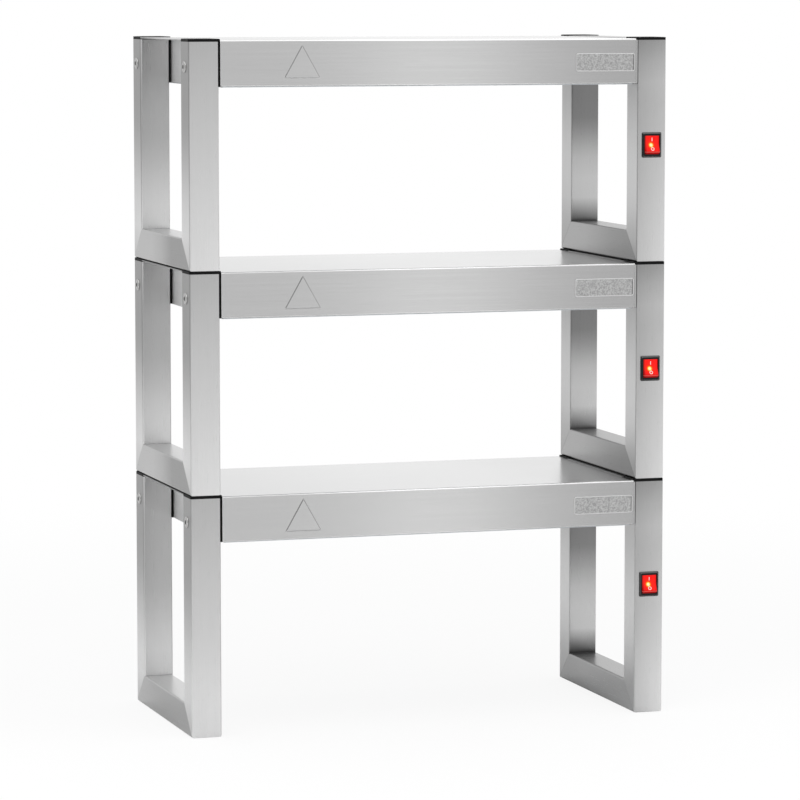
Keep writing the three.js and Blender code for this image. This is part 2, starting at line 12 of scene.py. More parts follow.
import bpy
import numpy as np
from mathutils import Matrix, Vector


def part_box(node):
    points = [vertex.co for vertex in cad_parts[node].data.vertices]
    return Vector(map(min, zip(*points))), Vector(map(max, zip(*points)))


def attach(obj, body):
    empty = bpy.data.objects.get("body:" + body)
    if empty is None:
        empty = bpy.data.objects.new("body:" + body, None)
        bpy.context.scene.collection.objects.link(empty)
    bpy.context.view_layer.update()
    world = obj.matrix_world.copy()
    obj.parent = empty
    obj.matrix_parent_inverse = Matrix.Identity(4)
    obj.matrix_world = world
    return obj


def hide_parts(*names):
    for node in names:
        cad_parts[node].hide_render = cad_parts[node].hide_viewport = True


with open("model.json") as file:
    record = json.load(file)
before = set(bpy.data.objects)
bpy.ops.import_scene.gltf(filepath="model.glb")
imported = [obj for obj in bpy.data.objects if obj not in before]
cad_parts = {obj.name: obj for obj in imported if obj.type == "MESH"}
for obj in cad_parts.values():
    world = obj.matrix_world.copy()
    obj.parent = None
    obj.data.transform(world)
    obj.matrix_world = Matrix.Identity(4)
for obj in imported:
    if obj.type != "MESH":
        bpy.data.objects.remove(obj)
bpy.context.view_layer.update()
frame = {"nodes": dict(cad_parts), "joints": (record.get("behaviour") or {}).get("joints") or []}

# %% [markdown]
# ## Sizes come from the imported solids
#
# A new piece has to sit exactly where its solid sits. The sizes could be typed in again, but
# then a change in the model would leave the looks behind. So each tier's heights and each
# tube's faces are read from the solids' boxes, and only what no solid holds, such as a soft
# edge, is a number of its own.

# %% Read the tiers
MM = 0.001
TIER_NAMES = ("lower", "middle", "upper")


def box_of(node):
    """Lowest and highest corner of a node as arrays."""
    low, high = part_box(node)
    return np.array(low), np.array(high)


def read_tier(name):
    """The heights of one tier, in metres above the counter."""
    frame_low, frame_high = box_of(f"{name}_left_frame")
    shell_low, shell_high = box_of(f"{name}_shelf_shell")
    cap_low, cap_high = box_of(f"{name}_cap_front_left")
    body_low, body_high = box_of(f"{name}_switch_body")
    return {
        "name": name,
        "base": frame_low[2],
        "leg_top": frame_high[2],
        "cap_top": cap_high[2],
        "tongue_end": cap_low[2],
        "shelf_top": shell_high[2],
        "skirt_end": shell_low[2],
        "switch": (body_low[2] + body_high[2]) / 2,
    }


tiers = [read_tier(name) for name in TIER_NAMES]
for tier in tiers:
    print(tier["name"], {key: round(float(v), 4) for key, v in tier.items() if key != "name"})

# %% Read the plan
left_low, left_high = box_of("lower_left_frame")
TUBE = left_high[0] - left_low[0]
FRONT, REAR = left_low[1], left_high[1]
OUTSIDE = -left_low[0]
SHELF_END = -box_of("lower_cap_front_left")[1][0]
LEG_X = OUTSIDE - TUBE / 2
LEG_Y = {"front": FRONT + TUBE / 2, "rear": REAR - TUBE / 2}
MIDDLE_Y = (FRONT + REAR) / 2
SIDES = {"left": -1, "right": 1}
print("tube", round(TUBE, 4), "front", round(FRONT, 4), "rear", round(REAR, 4), "shelf end", round(SHELF_END, 4))

# %% [markdown]
# ## The camera
#
# The camera comes early, because everything is judged through it. It stands about five metres
# away with a long lens, turned some 18 degrees towards the right and looking 6 degrees down,
# so upright edges stay nearly parallel, as in a catalogue picture.

# %% Place the camera
DEGREES_DOWN, DEGREES_RIGHT = 5.910, 17.689


def placed(name, data):
    """A new object in the scene."""
    thing = bpy.data.objects.new(name, data)
    bpy.context.scene.collection.objects.link(thing)
    return thing


camera_data = bpy.data.cameras.new("camera")
camera_data.lens = 180.28
camera_data.sensor_width = 36
camera_data.clip_end = 400
camera = placed("camera", camera_data)
camera.location = (-1.619, -5.0917, 0.9674)
camera.rotation_euler = (math.radians(90 - DEGREES_DOWN), 0, math.radians(-DEGREES_RIGHT))
bpy.context.scene.camera = camera
print("camera at", [round(v, 3) for v in camera.location])

# %% [markdown]
# ## Surfaces from rings
#
# Sheet, tube, turned parts and mouldings have one thing in common: a closed outline moves
# along a line and changes a little on the way. Blender's own tools could extrude, spin and
# bevel each of them. Here every surface is a grid instead: one parameter runs round a ring,
# the other runs from ring to ring. The whole grid is worked out as arrays, so an edge can be
# as soft, and a seam as fine, as the real one.

# %% Rings
CORNER_STEPS = 6


def rounded_rectangles(width, height, radius, steps=CORNER_STEPS):
    """One ring for each row of sizes, anticlockwise: the four corner centres, at half the size less
    the radius, plus the radius times (cos t, sin t) with t over a quarter turn at each corner."""
    width, height, radius = np.broadcast_arrays(*(np.atleast_1d(np.asarray(v, float)) for v in (width, height, radius)))
    t = (np.arange(4)[:, None] * np.pi / 2 + np.linspace(0, np.pi / 2, steps + 1)).ravel()
    sign_x = np.repeat([1, -1, -1, 1], steps + 1)
    sign_y = np.repeat([1, 1, -1, -1], steps + 1)
    x = sign_x * (width / 2 - radius)[:, None] + radius[:, None] * np.cos(t)
    y = sign_y * (height / 2 - radius)[:, None] + radius[:, None] * np.sin(t)
    return np.stack([x, y], -1)


def inset_rectangles(size, radius, inset, steps=CORNER_STEPS):
    """One size drawn in by each inset: twice the inset less each way, and the inset less at the corners."""
    return rounded_rectangles(size[0] - 2 * inset, size[1] - 2 * inset, radius - inset, steps)


def rounds(radius, sides=48):
    """One circle for each radius: radius times (cos t, sin t) with t once round."""
    t = np.linspace(0, 2 * np.pi, sides, endpoint=False)
    return np.atleast_1d(radius)[:, None, None] * np.column_stack([np.cos(t), np.sin(t)])


def hexagons(across_flats, sides=48):
    """One hexagon for each size, with as many points as a circle: in the direction t its edge is
    half the size divided by cos(t'), where t' is t measured from the middle of the nearest flat."""
    t = np.linspace(0, 2 * np.pi, sides, endpoint=False)
    from_flat = (t + np.pi / 6) % (np.pi / 3) - np.pi / 6
    reach = np.atleast_1d(across_flats)[:, None] / 2 / np.cos(from_flat)
    return reach[..., None] * np.column_stack([np.cos(t), np.sin(t)])


def soft_ends(low, high, edge, steps=4):
    """Stations from low to high, and how far a ring is drawn in at each: a quarter round of the
    given edge at both ends, edge - edge cos t along and edge - edge sin t inwards."""
    t = np.linspace(0, np.pi / 2, steps + 1)
    rise = edge - edge * np.cos(t)
    drawn_in = edge - edge * np.sin(t)
    return np.concatenate([low + rise, (high - rise)[::-1]]), np.concatenate([drawn_in, drawn_in[::-1]])


print("a tube's ring has", rounded_rectangles(TUBE, TUBE, 2.5 * MM).shape[1], "points")

# %% Rings set up in space
FACING = {
    "+x": [(0, 1, 0), (0, 0, 1), (1, 0, 0)],
    "-x": [(0, -1, 0), (0, 0, 1), (-1, 0, 0)],
    "+y": [(-1, 0, 0), (0, 0, 1), (0, 1, 0)],
    "-y": [(1, 0, 0), (0, 0, 1), (0, -1, 0)],
    "+z": [(1, 0, 0), (0, 1, 0), (0, 0, 1)],
    "-z": [(1, 0, 0), (0, -1, 0), (0, 0, -1)],
}


def set_up(rings, stations, facing, at=(0, 0, 0)):
    """Rings in space: at + first ring coordinate * side + second * up + station * direction. The three
    arrows for each direction are a right-handed set, so faces made from the rings point outwards."""
    stations = np.broadcast_to(np.asarray(stations, float)[:, None, None], (*rings.shape[:2], 1))
    flat = np.concatenate([np.broadcast_to(rings, (*rings.shape[:2], 2)), stations], -1)
    return flat @ np.array(FACING[facing], float) + np.asarray(at, float)


print("directions", sorted(FACING))

# %% Skin over a grid


class Skin:
    """Points, faces and grain of one surface. The grain holds metres along the rows and round the rings."""

    def __init__(self, grid, ends=True, ring=True, torus=False, missing=None):
        """Quads join (i, j), (i, j + 1), (i + 1, j + 1), (i + 1, j). ends closes the first and last
        ring with a face, ring joins the last column to the first, torus the last row to the first,
        and missing marks quads that are left out."""
        rows, columns = grid.shape[:2]
        spans = rows if torus else rows - 1, columns if ring else columns - 1
        i, j = np.meshgrid(np.arange(spans[0]), np.arange(spans[1]), indexing="ij")
        below, beside = (i + 1) % rows, (j + 1) % columns
        corners = (i, j), (i, beside), (below, beside), (below, j)
        quads = np.stack([row * columns + column for row, column in corners], -1)
        self.points = grid.reshape(-1, 3)
        along, around = self.measure(grid)
        u = np.stack([along[i], along[i], along[i + 1], along[i + 1]], -1)
        v = np.stack([around[j], around[j + 1], around[j + 1], around[j]], -1)
        kept = np.ones(quads.shape[:2], bool) if missing is None else ~missing
        self.faces = [quads[kept]]
        self.grain = [np.stack([u, v], -1)[kept].reshape(-1, 2)]
        if ends and ring and not torus:
            self.close(np.arange(columns)[::-1], grid[0])
            self.close((rows - 1) * columns + np.arange(columns), grid[-1])

    @staticmethod
    def measure(grid):
        """Running length along the rings' centres, and round the longest ring."""
        centre = np.concatenate([grid, grid[:1]]).mean(1)
        along = np.concatenate([[0], np.cumsum(np.linalg.norm(np.diff(centre, axis=0), axis=1))])
        step = np.linalg.norm(np.diff(np.concatenate([grid, grid[:, :1]], 1), axis=1), axis=2).max(0)
        return along, np.concatenate([[0], np.cumsum(step)])

    def close(self, corners, ring):
        """One face over a ring, its grain read straight from the two wider directions of space."""
        wide = np.sort(np.argsort(np.ptp(ring, axis=0))[1:])
        self.faces.append(corners[None])
        self.grain.append(self.points[corners][:, wide])


square = Skin(set_up(rounded_rectangles([1, 1], 1, 0.1), [0, 1], "+z"))
print("a test block:", len(square.points), "points,", sum(len(block) for block in square.faces), "faces")

# %% [markdown]
# ## From skins to pieces
#
# One piece is often several skins, such as a cap with its plug. They go into one mesh with
# three extras: the grain coordinates for brushing, a "tone" value at each point, and sharp
# edges wherever two faces meet at more than 30 degrees. Sheet parts get their wall from
# Solidify, which is how a sheet works too: it is bent first and its thickness follows.

# %% Make a piece
SHARP = math.radians(30)


def with_wall(piece, thickness):
    """Gives an open sheet its wall towards the inside, and keeps the result as the mesh."""
    wall = piece.modifiers.new("wall", "SOLIDIFY")
    wall.thickness = thickness
    wall.offset = -1
    wall.use_even_offset = True
    graph = bpy.context.evaluated_depsgraph_get()
    solid = bpy.data.meshes.new_from_object(piece.evaluated_get(graph), preserve_all_data_layers=True, depsgraph=graph)
    solid.name = piece.name
    piece.modifiers.clear()
    piece.data = solid


def joined(name, skins):
    """One mesh of several skins, with all its points and its faces in blocks."""
    starts = np.cumsum([0] + [len(skin.points) for skin in skins])
    points = np.concatenate([skin.points for skin in skins])
    blocks = [block + start for skin, start in zip(skins, starts) for block in skin.faces]
    mesh = bpy.data.meshes.new(name)
    mesh.from_pydata(points.tolist(), [], [face for block in blocks for face in block.tolist()])
    return mesh, points, blocks


def make_piece(name, skins, finish, body="gantry", replaces=(), wall=None, tone=None, grain=None, sharp=SHARP):
    """Joins skins into one mesh, gives it its finish and lets it ride on a body. tone and grain are
    functions of the points, (n, 3) to (n,) and (n, 3) to (n, 2)."""
    mesh, points, blocks = joined(name, skins)
    layer = mesh.uv_layers.new(name="grain")
    corners = np.concatenate([block.ravel() for block in blocks])
    lengths = grain(points)[corners] if grain else np.concatenate([part for skin in skins for part in skin.grain])
    layer.data.foreach_set("uv", lengths.astype(np.float32).ravel())
    shade = mesh.attributes.new("tone", "FLOAT", "POINT")
    shade.data.foreach_set("value", (tone(points) if tone else np.ones(len(points))).astype(np.float32))
    piece = placed(name, mesh)
    if wall:
        with_wall(piece, wall)
    piece.data.materials.clear()
    piece.data.materials.append(finish)
    piece.data.shade_smooth()
    piece.data.set_sharp_from_angle(angle=sharp)
    flats = piece.modifiers.new("flats", "WEIGHTED_NORMAL")
    flats.keep_sharp = True
    flats.weight = 100
    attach(piece, body)
    if replaces:
        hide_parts(*replaces)
    return piece


print("edges sharper than", round(math.degrees(SHARP)), "degrees stay sharp")

# %% [markdown]
# ## Shader maths in plain Python
#
# A finish is a small calculation that runs at every point of a surface. Wiring Math nodes by
# hand hides that, so a wire here is a Python value: adding or multiplying wires adds the
# nodes. Whatever isn't plain maths comes from one method that makes a node, sets it up and
# plugs it in.

# %% Wires and finishes


class Wire:
    """One output of a node. Arithmetic on it adds Math nodes, and numbers may stand on either side."""

    def __init__(self, finish, socket):
        self.finish = finish
        self.socket = socket

    def maths(self, operation, *values):
        return self.finish.node("ShaderNodeMath", {"operation": operation}, dict(enumerate(values)))

    def __add__(self, other):
        return self.maths("ADD", self, other)

    def __sub__(self, other):
        return self.maths("SUBTRACT", self, other)

    def __mul__(self, other):
        return self.maths("MULTIPLY", self, other)

    def __truediv__(self, other):
        return self.maths("DIVIDE", self, other)

    def __pow__(self, other):
        return self.maths("POWER", self, other)

    def __rsub__(self, other):
        return self.maths("SUBTRACT", other, self)

    def __rtruediv__(self, other):
        return self.maths("DIVIDE", other, self)

    __radd__ = __add__
    __rmul__ = __mul__

    def clipped(self, low=0.0, high=1.0):
        return self.maths("MINIMUM", self.maths("MAXIMUM", self, low), high)

    def sine(self):
        return self.maths("SINE", self)


class Finish:
    """A material, or the world, while its nodes are being put together."""

    def __init__(self, owner):
        owner.use_nodes = True
        self.owner = owner
        self.tree = owner.node_tree

    def node(self, kind, settings=None, values=None, output=0):
        """Makes a node, sets it up, fills its sockets and hands back one output as a wire."""
        made_node = self.tree.nodes.new(kind)
        for key, value in (settings or {}).items():
            if key == "stops":
                self.set_stops(made_node.color_ramp, value)
            else:
                setattr(made_node, key, value)
        for key, value in (values or {}).items():
            self.fill(self.pick(made_node.inputs, key), value)
        return Wire(self, self.pick(made_node.outputs, output))

    @staticmethod
    def set_stops(ramp, stops):
        """Sets a ramp's stops, given as (position, colour)."""
        while len(ramp.elements) < len(stops):
            ramp.elements.new(1.0)
        for element, (position, colour) in zip(ramp.elements, stops):
            element.position = position
            element.color = colour if len(colour) == 4 else (*colour, 1)

    @staticmethod
    def pick(sockets, key):
        """A socket by its number, or the shown one of that name."""
        return sockets[key] if isinstance(key, int) else next(s for s in sockets if s.name == key and s.enabled)

    def fill(self, socket, value):
        """Plugs a wire in, or sets a number, colour or vector."""
        if isinstance(value, Wire):
            self.tree.links.new(value.socket, socket)
        else:
            wanted = (*value, 1) if socket.type == "RGBA" and len(value) == 3 else value
            socket.default_value = wanted

    def shader(self, **values):
        """Fills sockets of the material's main shader, underscores standing for spaces."""
        main = self.tree.nodes["Principled BSDF"]
        for key, value in values.items():
            self.fill(self.pick(main.inputs, key.replace("_", " ")), value)
        return self.owner


def new_finish(name):
    return Finish(bpy.data.materials.new(name))


print("wires add their own nodes")

# %% [markdown]
# ## Patterns at their real size
#
# Every finish starts from a place: the grain coordinates of a sheet, in metres along and
# across the brushing, or the piece's own Object coordinates on a moulding. Noise is then
# stretched until its marks have the real size, so it reads the same on every piece.

# %% Places and noise


def grain_place(finish):
    """Metres along and across the brushing."""
    return finish.node("ShaderNodeUVMap", {"uv_map": "grain"})


def object_place(finish):
    """Metres in the model's own space."""
    return finish.node("ShaderNodeTexCoord", output="Object")


def part_of(place, axis):
    """One of a vector's three numbers, by its letter."""
    return place.finish.node("ShaderNodeSeparateXYZ", None, {"Vector": place}, output=axis)


def tone_of(finish):
    """The number that make_piece stored at each point."""
    return finish.node("ShaderNodeAttribute", {"attribute_name": "tone"}, output="Fac")


def stretched(place, scale):
    """A place with each axis multiplied by its own number."""
    return place.finish.node("ShaderNodeMapping", None, {"Vector": place, "Scale": scale})


def noise(place, per_metre, detail=2.0, roughness=0.5):
    """Noise from 0 to 1 with so many marks in a metre along each axis."""
    values = {"Vector": stretched(place, per_metre), "Scale": 1.0, "Detail": detail, "Roughness": roughness}
    return place.finish.node("ShaderNodeTexNoise", {"noise_dimensions": "3D"}, values)


def smooth(wire, low, high):
    """0 below low, 1 above high and a smooth step between."""
    settings = {"interpolation_type": "SMOOTHSTEP"}
    return wire.finish.node("ShaderNodeMapRange", settings, {"Value": wire, "From Min": low, "From Max": high})


def scaled_colour(colour, factor):
    """A colour made lighter or darker by a wire."""
    return factor.finish.node("ShaderNodeVectorMath", {"operation": "SCALE"}, {"Vector": colour, "Scale": factor})


def mixed_colour(factor, first, second):
    """The first colour where the factor is 0, the second where it is 1."""
    values = {"Factor": factor, "A": first, "B": second}
    return factor.finish.node("ShaderNodeMix", {"data_type": "RGBA"}, values, output="Result")


def relief(height, depth, strength=1.0):
    """A bump of so many metres from the lowest to the highest part of a wire from 0 to 1."""
    return height.finish.node("ShaderNodeBump", None, {"Height": height, "Distance": depth, "Strength": strength})


print("patterns are measured in marks per metre")

# %% [markdown]
# ## Brushed stainless steel
#
# Stainless tube and sheet leave the belt grinder with thousands of short parallel scratches.
# From two metres only their effect is seen: fine lines along the grain, reflections drawn out
# across it, and slow bands where the belt pressed harder. A single stretched noise looks like
# wood, so three scales are laid over one another, and only a trace goes into the relief.

# %% Brushed steel
SCRATCHES, STREAKS, CLOUDS = (45, 3200, 1), (5, 620, 1), (5, 26, 1)


def brushed_steel(name, colour, roughness, lines=0.035, bands=0.035):
    """Tone times one plus the sum of three noises about zero: scratches, lines and bands."""
    finish = new_finish(name)
    place = grain_place(finish)
    scratches = noise(place, SCRATCHES, 1.0) - 0.5
    streaks = noise(place, STREAKS) - 0.5
    clouds = noise(place, CLOUDS) - 0.5
    bright = tone_of(finish) * (1 + scratches * 0.07 + streaks * lines * 2 + clouds * bands * 2)
    dull = roughness + streaks * 0.08 + scratches * 0.10
    return finish.shader(
        Base_Color=scaled_colour(colour, bright),
        Roughness=dull.clipped(0.12, 0.6),
        Metallic=1.0,
        Normal=relief(scratches + streaks * 0.6, 0.02 * MM, 0.25),
    )


frame_finish = brushed_steel("brushed_steel_tube", (0.645, 0.645, 0.645), 0.30)
shelf_finish = brushed_steel("brushed_steel_sheet", (0.664, 0.664, 0.664), 0.23, lines=0.05)
# The ends' steel is painted lighter than the rest: painted light on the end walls.
end_finish = brushed_steel("ground_steel_ends_painted_light", (0.82, 0.82, 0.82), 0.46)
print("made", frame_finish.name, shelf_finish.name, "and", end_finish.name)

# %% [markdown]
# ## The side frames
#
# A side frame is one square tube cut at 45 degrees and welded: down the front leg, along the
# bottom rail and up the rear leg. Three bars could be joined with booleans, but then the
# brushing would break off at the weld. Here the tube's ring runs along the whole U. At each
# mitre it leans over with the saw cut, and the weld is a fine groove between two leaning
# rings. The grain turns the corner with the tube, as it does on the real frame.

# %% The path of a frame
TUBE_CORNER = 2.5 * MM
TUBE_WALL = 1.5 * MM
WELD_HALF = 0.4 * MM
WELD_DEPTH = 0.3 * MM
CUTOUT = (11.7 * MM, 14.65 * MM)
LEG_ROWS, RAIL_ROWS = 10, 5
MITRE_SHARE = 0.62


def frame_stations(tier, cut_rows):
    """Rows of the U as (origin y, origin z, lean y, lean z, inset). A ring point that stands b outside
    the tube's middle lies at origin + b * lean, so (-1, 0) is a straight cut of the front leg, (0, -1)
    one of the rail, and (-1, -1) the saw cut between them."""
    base, top = tier["base"], tier["leg_top"]
    middle = base + TUBE / 2
    clear = MITRE_SHARE * TUBE
    heights = np.unique(np.concatenate([np.linspace(top, middle + clear, LEG_ROWS), cut_rows]))[::-1]
    front = [(LEG_Y["front"], z, -1, 0, 0) for z in heights]
    rail_y = np.linspace(LEG_Y["front"] + clear, LEG_Y["rear"] - clear, RAIL_ROWS)
    rail = [(y, middle, 0, -1, 0) for y in rail_y]
    rear = [(LEG_Y["rear"], z, 1, 0, 0) for z in heights[::-1]]
    first = LEG_Y["front"], middle, -1, -1
    last = LEG_Y["rear"], middle, 1, -1
    seam = [
        [(first[0], middle + WELD_HALF, -1, -1, 0), (*first, WELD_DEPTH), (first[0] + WELD_HALF, middle, -1, -1, 0)],
        [(last[0] - WELD_HALF, middle, 1, -1, 0), (*last, WELD_DEPTH), (last[0], middle + WELD_HALF, 1, -1, 0)],
    ]
    return np.array([*front, *seam[0], *rail, *seam[1], *rear])


print("rows along a frame:", len(frame_stations(tiers[0], np.array([]))))

# %% Carry the tube along the path


def frame_skin(tier, side):
    """Point = (leg x + a, origin + b * lean), with (a, b) on the tube's ring drawn in by the row's inset."""
    cut_rows = tier["switch"] + np.array([-1, 1]) * CUTOUT[1]
    rows = frame_stations(tier, cut_rows)
    ring = rounded_rectangles(TUBE, TUBE, TUBE_CORNER)[0]
    outer_face = CORNER_STEPS + 1
    ring = np.insert(ring, outer_face, [[CUTOUT[0], TUBE / 2], [-CUTOUT[0], TUBE / 2]], axis=0)
    scale = 1 - rows[:, 4] / (TUBE / 2)
    a = ring[None, :, 0] * scale[:, None]
    b = ring[None, :, 1] * scale[:, None]
    grid = np.stack([side * LEG_X + a, rows[:, :1] + b * rows[:, 2:3], rows[:, 1:2] + b * rows[:, 3:4]], -1)
    missing = np.zeros((len(rows) - 1, len(ring)), bool)
    if side > 0:
        middle = (rows[:-1, 1] + rows[1:, 1]) / 2
        on_front_leg = np.arange(len(rows) - 1) < len(rows) // 2
        missing[on_front_leg & (np.abs(middle - tier["switch"]) < CUTOUT[1]), outer_face] = True
    return Skin(grid, ends=False, missing=missing)


print("a frame's mesh has", len(frame_skin(tiers[0], 1).points), "points")

# %% [markdown]
# ### Tone of the tubes
#
# The tubes' tone is painted shade and painted reflection. Each face of a tube mirrors another part of the
# room, so no two faces have the same tone, and the tone paints that in: the front faces fade gently towards
# the shelf, the outer faces fade more, and the rail, brushed across the legs' direction, breaks off sharply
# at the mitres. A material can't know which face it is on, so the tone goes into the mesh, one number
# for each point. The shares below weren't worked out from anything. They were set
# until the picture looked right, so they suit this light and this camera best.

# %% Tone of the tubes


def eased(value, low, high):
    """0 below low, 1 above high, and 3 t^2 - 2 t^3 between them."""
    t = np.clip((value - low) / (high - low), 0, 1)
    return t * t * (3 - 2 * t)


def front_face_painted_light(side, at_rear, height, outwards):
    """Painted shade and reflection on the faces across the legs, by the height's share: fading up to the shelf,
    and on the rear legs with a darker part where the shelf and the rail face them. outwards runs from -1 to 1."""
    level, lean = (1.04, -0.02) if side < 0 else (0.90, 0.14)
    plain = level * (1 - 0.36 * height**1.1) * (1 + lean * outwards)
    if side < 0:
        rear = 1.05 - 0.40 * eased(height, 0.15, 0.6) + 0.25 * eased(height, 0.8, 1.0)
    else:
        rear = 0.82 - 0.52 * eased(height, 0.35, 0.66) - 0.76 * (1 - eased(height, 0.12, 0.215))
        plain = plain * (1 + 0.08 * np.exp(-(((height - 0.82) / 0.06) ** 2)) - 0.20 * eased(height, 0.88, 0.99))
    return np.where(at_rear, rear, plain)


def side_face_painted_light(outer, in_leg, height, depth, on_counter):
    """Painted shade and reflection on the faces along the frame. On a leg it fades with the height, on the rail
    with the depth's share, which is 0 in front and 1 at the rear. Rails on the counter get a painted reflection of the
    floor and stay brighter."""
    outer_leg = 0.50 + 0.75 * (1 - eased(height, 0.12, 0.72)) - 0.28 * (1 - eased(height, 0.03, 0.16))
    inner_leg = 1.12 - 0.35 * eased(height, 0.4, 0.85) - 0.36 * (1 - eased(height, 0.04, 0.32))
    inner_leg = inner_leg - 0.07 * (depth > 0.5)
    outer_rail = 0.51 + 0.37 * eased(depth, 0.34, 0.60)
    inner_rail = 0.52 + 0.24 * eased(depth, 0.15, 0.75)
    if on_counter:
        outer_rail = 0.65 + 0.20 * eased(depth, 0.50, 1.05)
        inner_rail = 0.74 - 0.12 * eased(depth, 0.50, 1.00)
    return np.where(in_leg, np.where(outer, outer_leg, inner_leg), np.where(outer, outer_rail, inner_rail))


def frame_painted_light(tier, side):
    """Mixes the two by how far a point has gone round the tube's corner. The mitre is where a point is
    as high above the rail's bottom as it is deep behind the leg's face."""
    span = tier["leg_top"] - tier["base"]
    on_counter = tier["base"] == 0
    right_rail = 0.44 if on_counter else 0.39

    def tone(points):
        across = side * points[:, 0] - LEG_X
        rise = points[:, 2] - tier["base"]
        from_front, from_rear = points[:, 1] - FRONT, REAR - points[:, 1]
        height = np.clip(rise / span, 0, 1)
        depth = np.clip(from_front / (REAR - FRONT), 0, 1)
        turned = eased(np.abs(across), TUBE / 2 - 0.8 * MM, TUBE / 2 - 0.05 * MM)
        in_leg = rise > np.minimum(from_front, from_rear)
        faces_shelf = in_leg & (depth > 0.5) & (from_rear > TUBE / 2)
        front_face = front_face_painted_light(side, faces_shelf, height, across / (TUBE / 2))
        # Painted reflection of the floor: the lowest tier's legs are painted lighter towards their foot.
        if on_counter:
            front_face = front_face * (1 + 0.10 * (1 - eased(height, 0.05, 0.45)))
        front_face = np.where(in_leg, front_face, 0.86 if side < 0 else right_rail)
        side_face = side_face_painted_light(across > 0, in_leg, height, depth, on_counter)
        return front_face * (1 - turned) + side_face * turned

    return tone


for tier in tiers:
    for side_name, side in SIDES.items():
        node = f"{tier['name']}_{side_name}_frame"
        make_piece(
            f"{node}_tube",
            [frame_skin(tier, side)],
            frame_finish,
            replaces=[node],
            wall=TUBE_WALL,
            tone=frame_painted_light(tier, side),
        )

# %% [markdown]
# ## The shelves
#
# The shelf is one sheet folded four times: front lip, skirt, plate, rear skirt, rear lip. On a
# press brake the sheet keeps its length and only the folds are round, so its path is a line
# with four arcs. It is carried along X and then gets its wall. The ends are separate closed
# plates, welded in, with the two wings that reach out between the legs.

# %% Fold a sheet


def folded(corners, radius, steps=6):
    """A line with round folds. At each inner corner the arc starts radius * tan(half turn) before it
    and ends as far behind it, about a centre that lies radius inside both lines."""
    corners = np.asarray(corners, float)
    before = corners[:-2] - corners[1:-1]
    after = corners[2:] - corners[1:-1]
    before = before / np.linalg.norm(before, axis=1, keepdims=True)
    after = after / np.linalg.norm(after, axis=1, keepdims=True)
    half = np.arccos(np.clip((before * after).sum(1), -1, 1))[:, None] / 2
    bisector = (before + after) / np.linalg.norm(before + after, axis=1, keepdims=True)
    centre = corners[1:-1] + bisector * radius / np.sin(half)
    start = corners[1:-1] + before * radius / np.tan(half) - centre
    sideways = corners[1:-1] + after * radius / np.tan(half) - centre
    turn = np.pi - 2 * half
    t = np.linspace(0, 1, steps + 1)[None, :, None]
    sweep = turn[:, :, None]
    arc = (start[:, None] * np.sin((1 - t) * sweep) + sideways[:, None] * np.sin(t * sweep)) / np.sin(sweep)
    arcs = (centre[:, None] + arc).reshape(-1, 2)
    return np.concatenate([corners[:1], arcs, corners[-1:]])


FOLD = 2.4 * MM
LIP_FOLD = 1.5 * MM
SHEET = 1.2 * MM
LIP = 15 * MM
RADII = np.array([LIP_FOLD, FOLD, FOLD, LIP_FOLD])[:, None]
SHEET_ROWS = 24
section = folded([(FRONT + LIP, 0), (FRONT, 0), (FRONT, 1), (REAR, 1), (REAR, 0), (REAR - LIP, 0)], RADII)
print("the folded section has", len(section), "points")

# %% Carry the sheet along X


def shelf_section(tier):
    """The folded line at its real heights, from the front lip over the plate to the rear lip."""
    low, high = tier["skirt_end"], tier["shelf_top"]
    line = [(FRONT + LIP, low), (FRONT, low), (FRONT, high), (REAR, high), (REAR, low), (REAR - LIP, low)]
    return folded(line, RADII)[::-1]


def sheet_skin(tier):
    """Point = (x, section). The rows run along X, which is the way the sheet was brushed."""
    line = shelf_section(tier)
    x = np.linspace(-SHELF_END + SHEET / 2, SHELF_END - SHEET / 2, SHEET_ROWS)
    across = np.broadcast_to(x[:, None, None], (len(x), len(line), 1))
    grid = np.concatenate([across, np.broadcast_to(line, (len(x), *line.shape))], -1)
    return Skin(grid, ends=False, ring=False)


def skirt_painted_light(points):
    """A painted highlight, a lighter band in the skirt's middle: 0.72 plus a bell along x, times a painted
    shade that falls by almost a fifth from the middle to the right."""
    share = (points[:, 0] + SHELF_END) / (2 * SHELF_END)
    return (0.72 + 0.225 * np.exp(-(((share - 0.57) / 0.275) ** 2))) * (1 - 0.185 * eased(share, 0.40, 0.90))


def shelf_painted_light(tier):
    """Painted reflection on the plate: it gets lighter to its middle and darker again to the right, and over
    the fold it turns into the skirts' tone. Both folds get a painted highlight a little brighter than the faces beside
    them."""
    top, low = tier["shelf_top"], tier["skirt_end"]

    def tone(points):
        share = (points[:, 0] + SHELF_END) / (2 * SHELF_END)
        height = points[:, 2]
        on_plate = eased(height, top - FOLD, top - 0.3 * MM)
        plate = 0.80 + 0.09 * eased(share, 0.05, 0.5) - 0.08 * eased(share, 0.6, 0.9)
        lower_fold = 0.80 * (1 - eased(height, low + 0.2 * LIP_FOLD, low + 0.97 * LIP_FOLD))
        on_fold = eased(height, top - 0.92 * FOLD, top - 0.58 * FOLD) * (1 - eased(height, top - 0.15 * MM, top))
        upper_fold = (0.10 + 0.42 * eased(share, 0.10, 0.45)) * on_fold
        return (plate * on_plate + skirt_painted_light(points) * (1 + lower_fold) * (1 - on_plate)) * (1 + upper_fold)

    return tone


WING_RISE = 0.6 * MM
WING_GAP = 0.5 * MM
NUT_LENGTH, NUT_FLATS = 13 * MM, 13 * MM


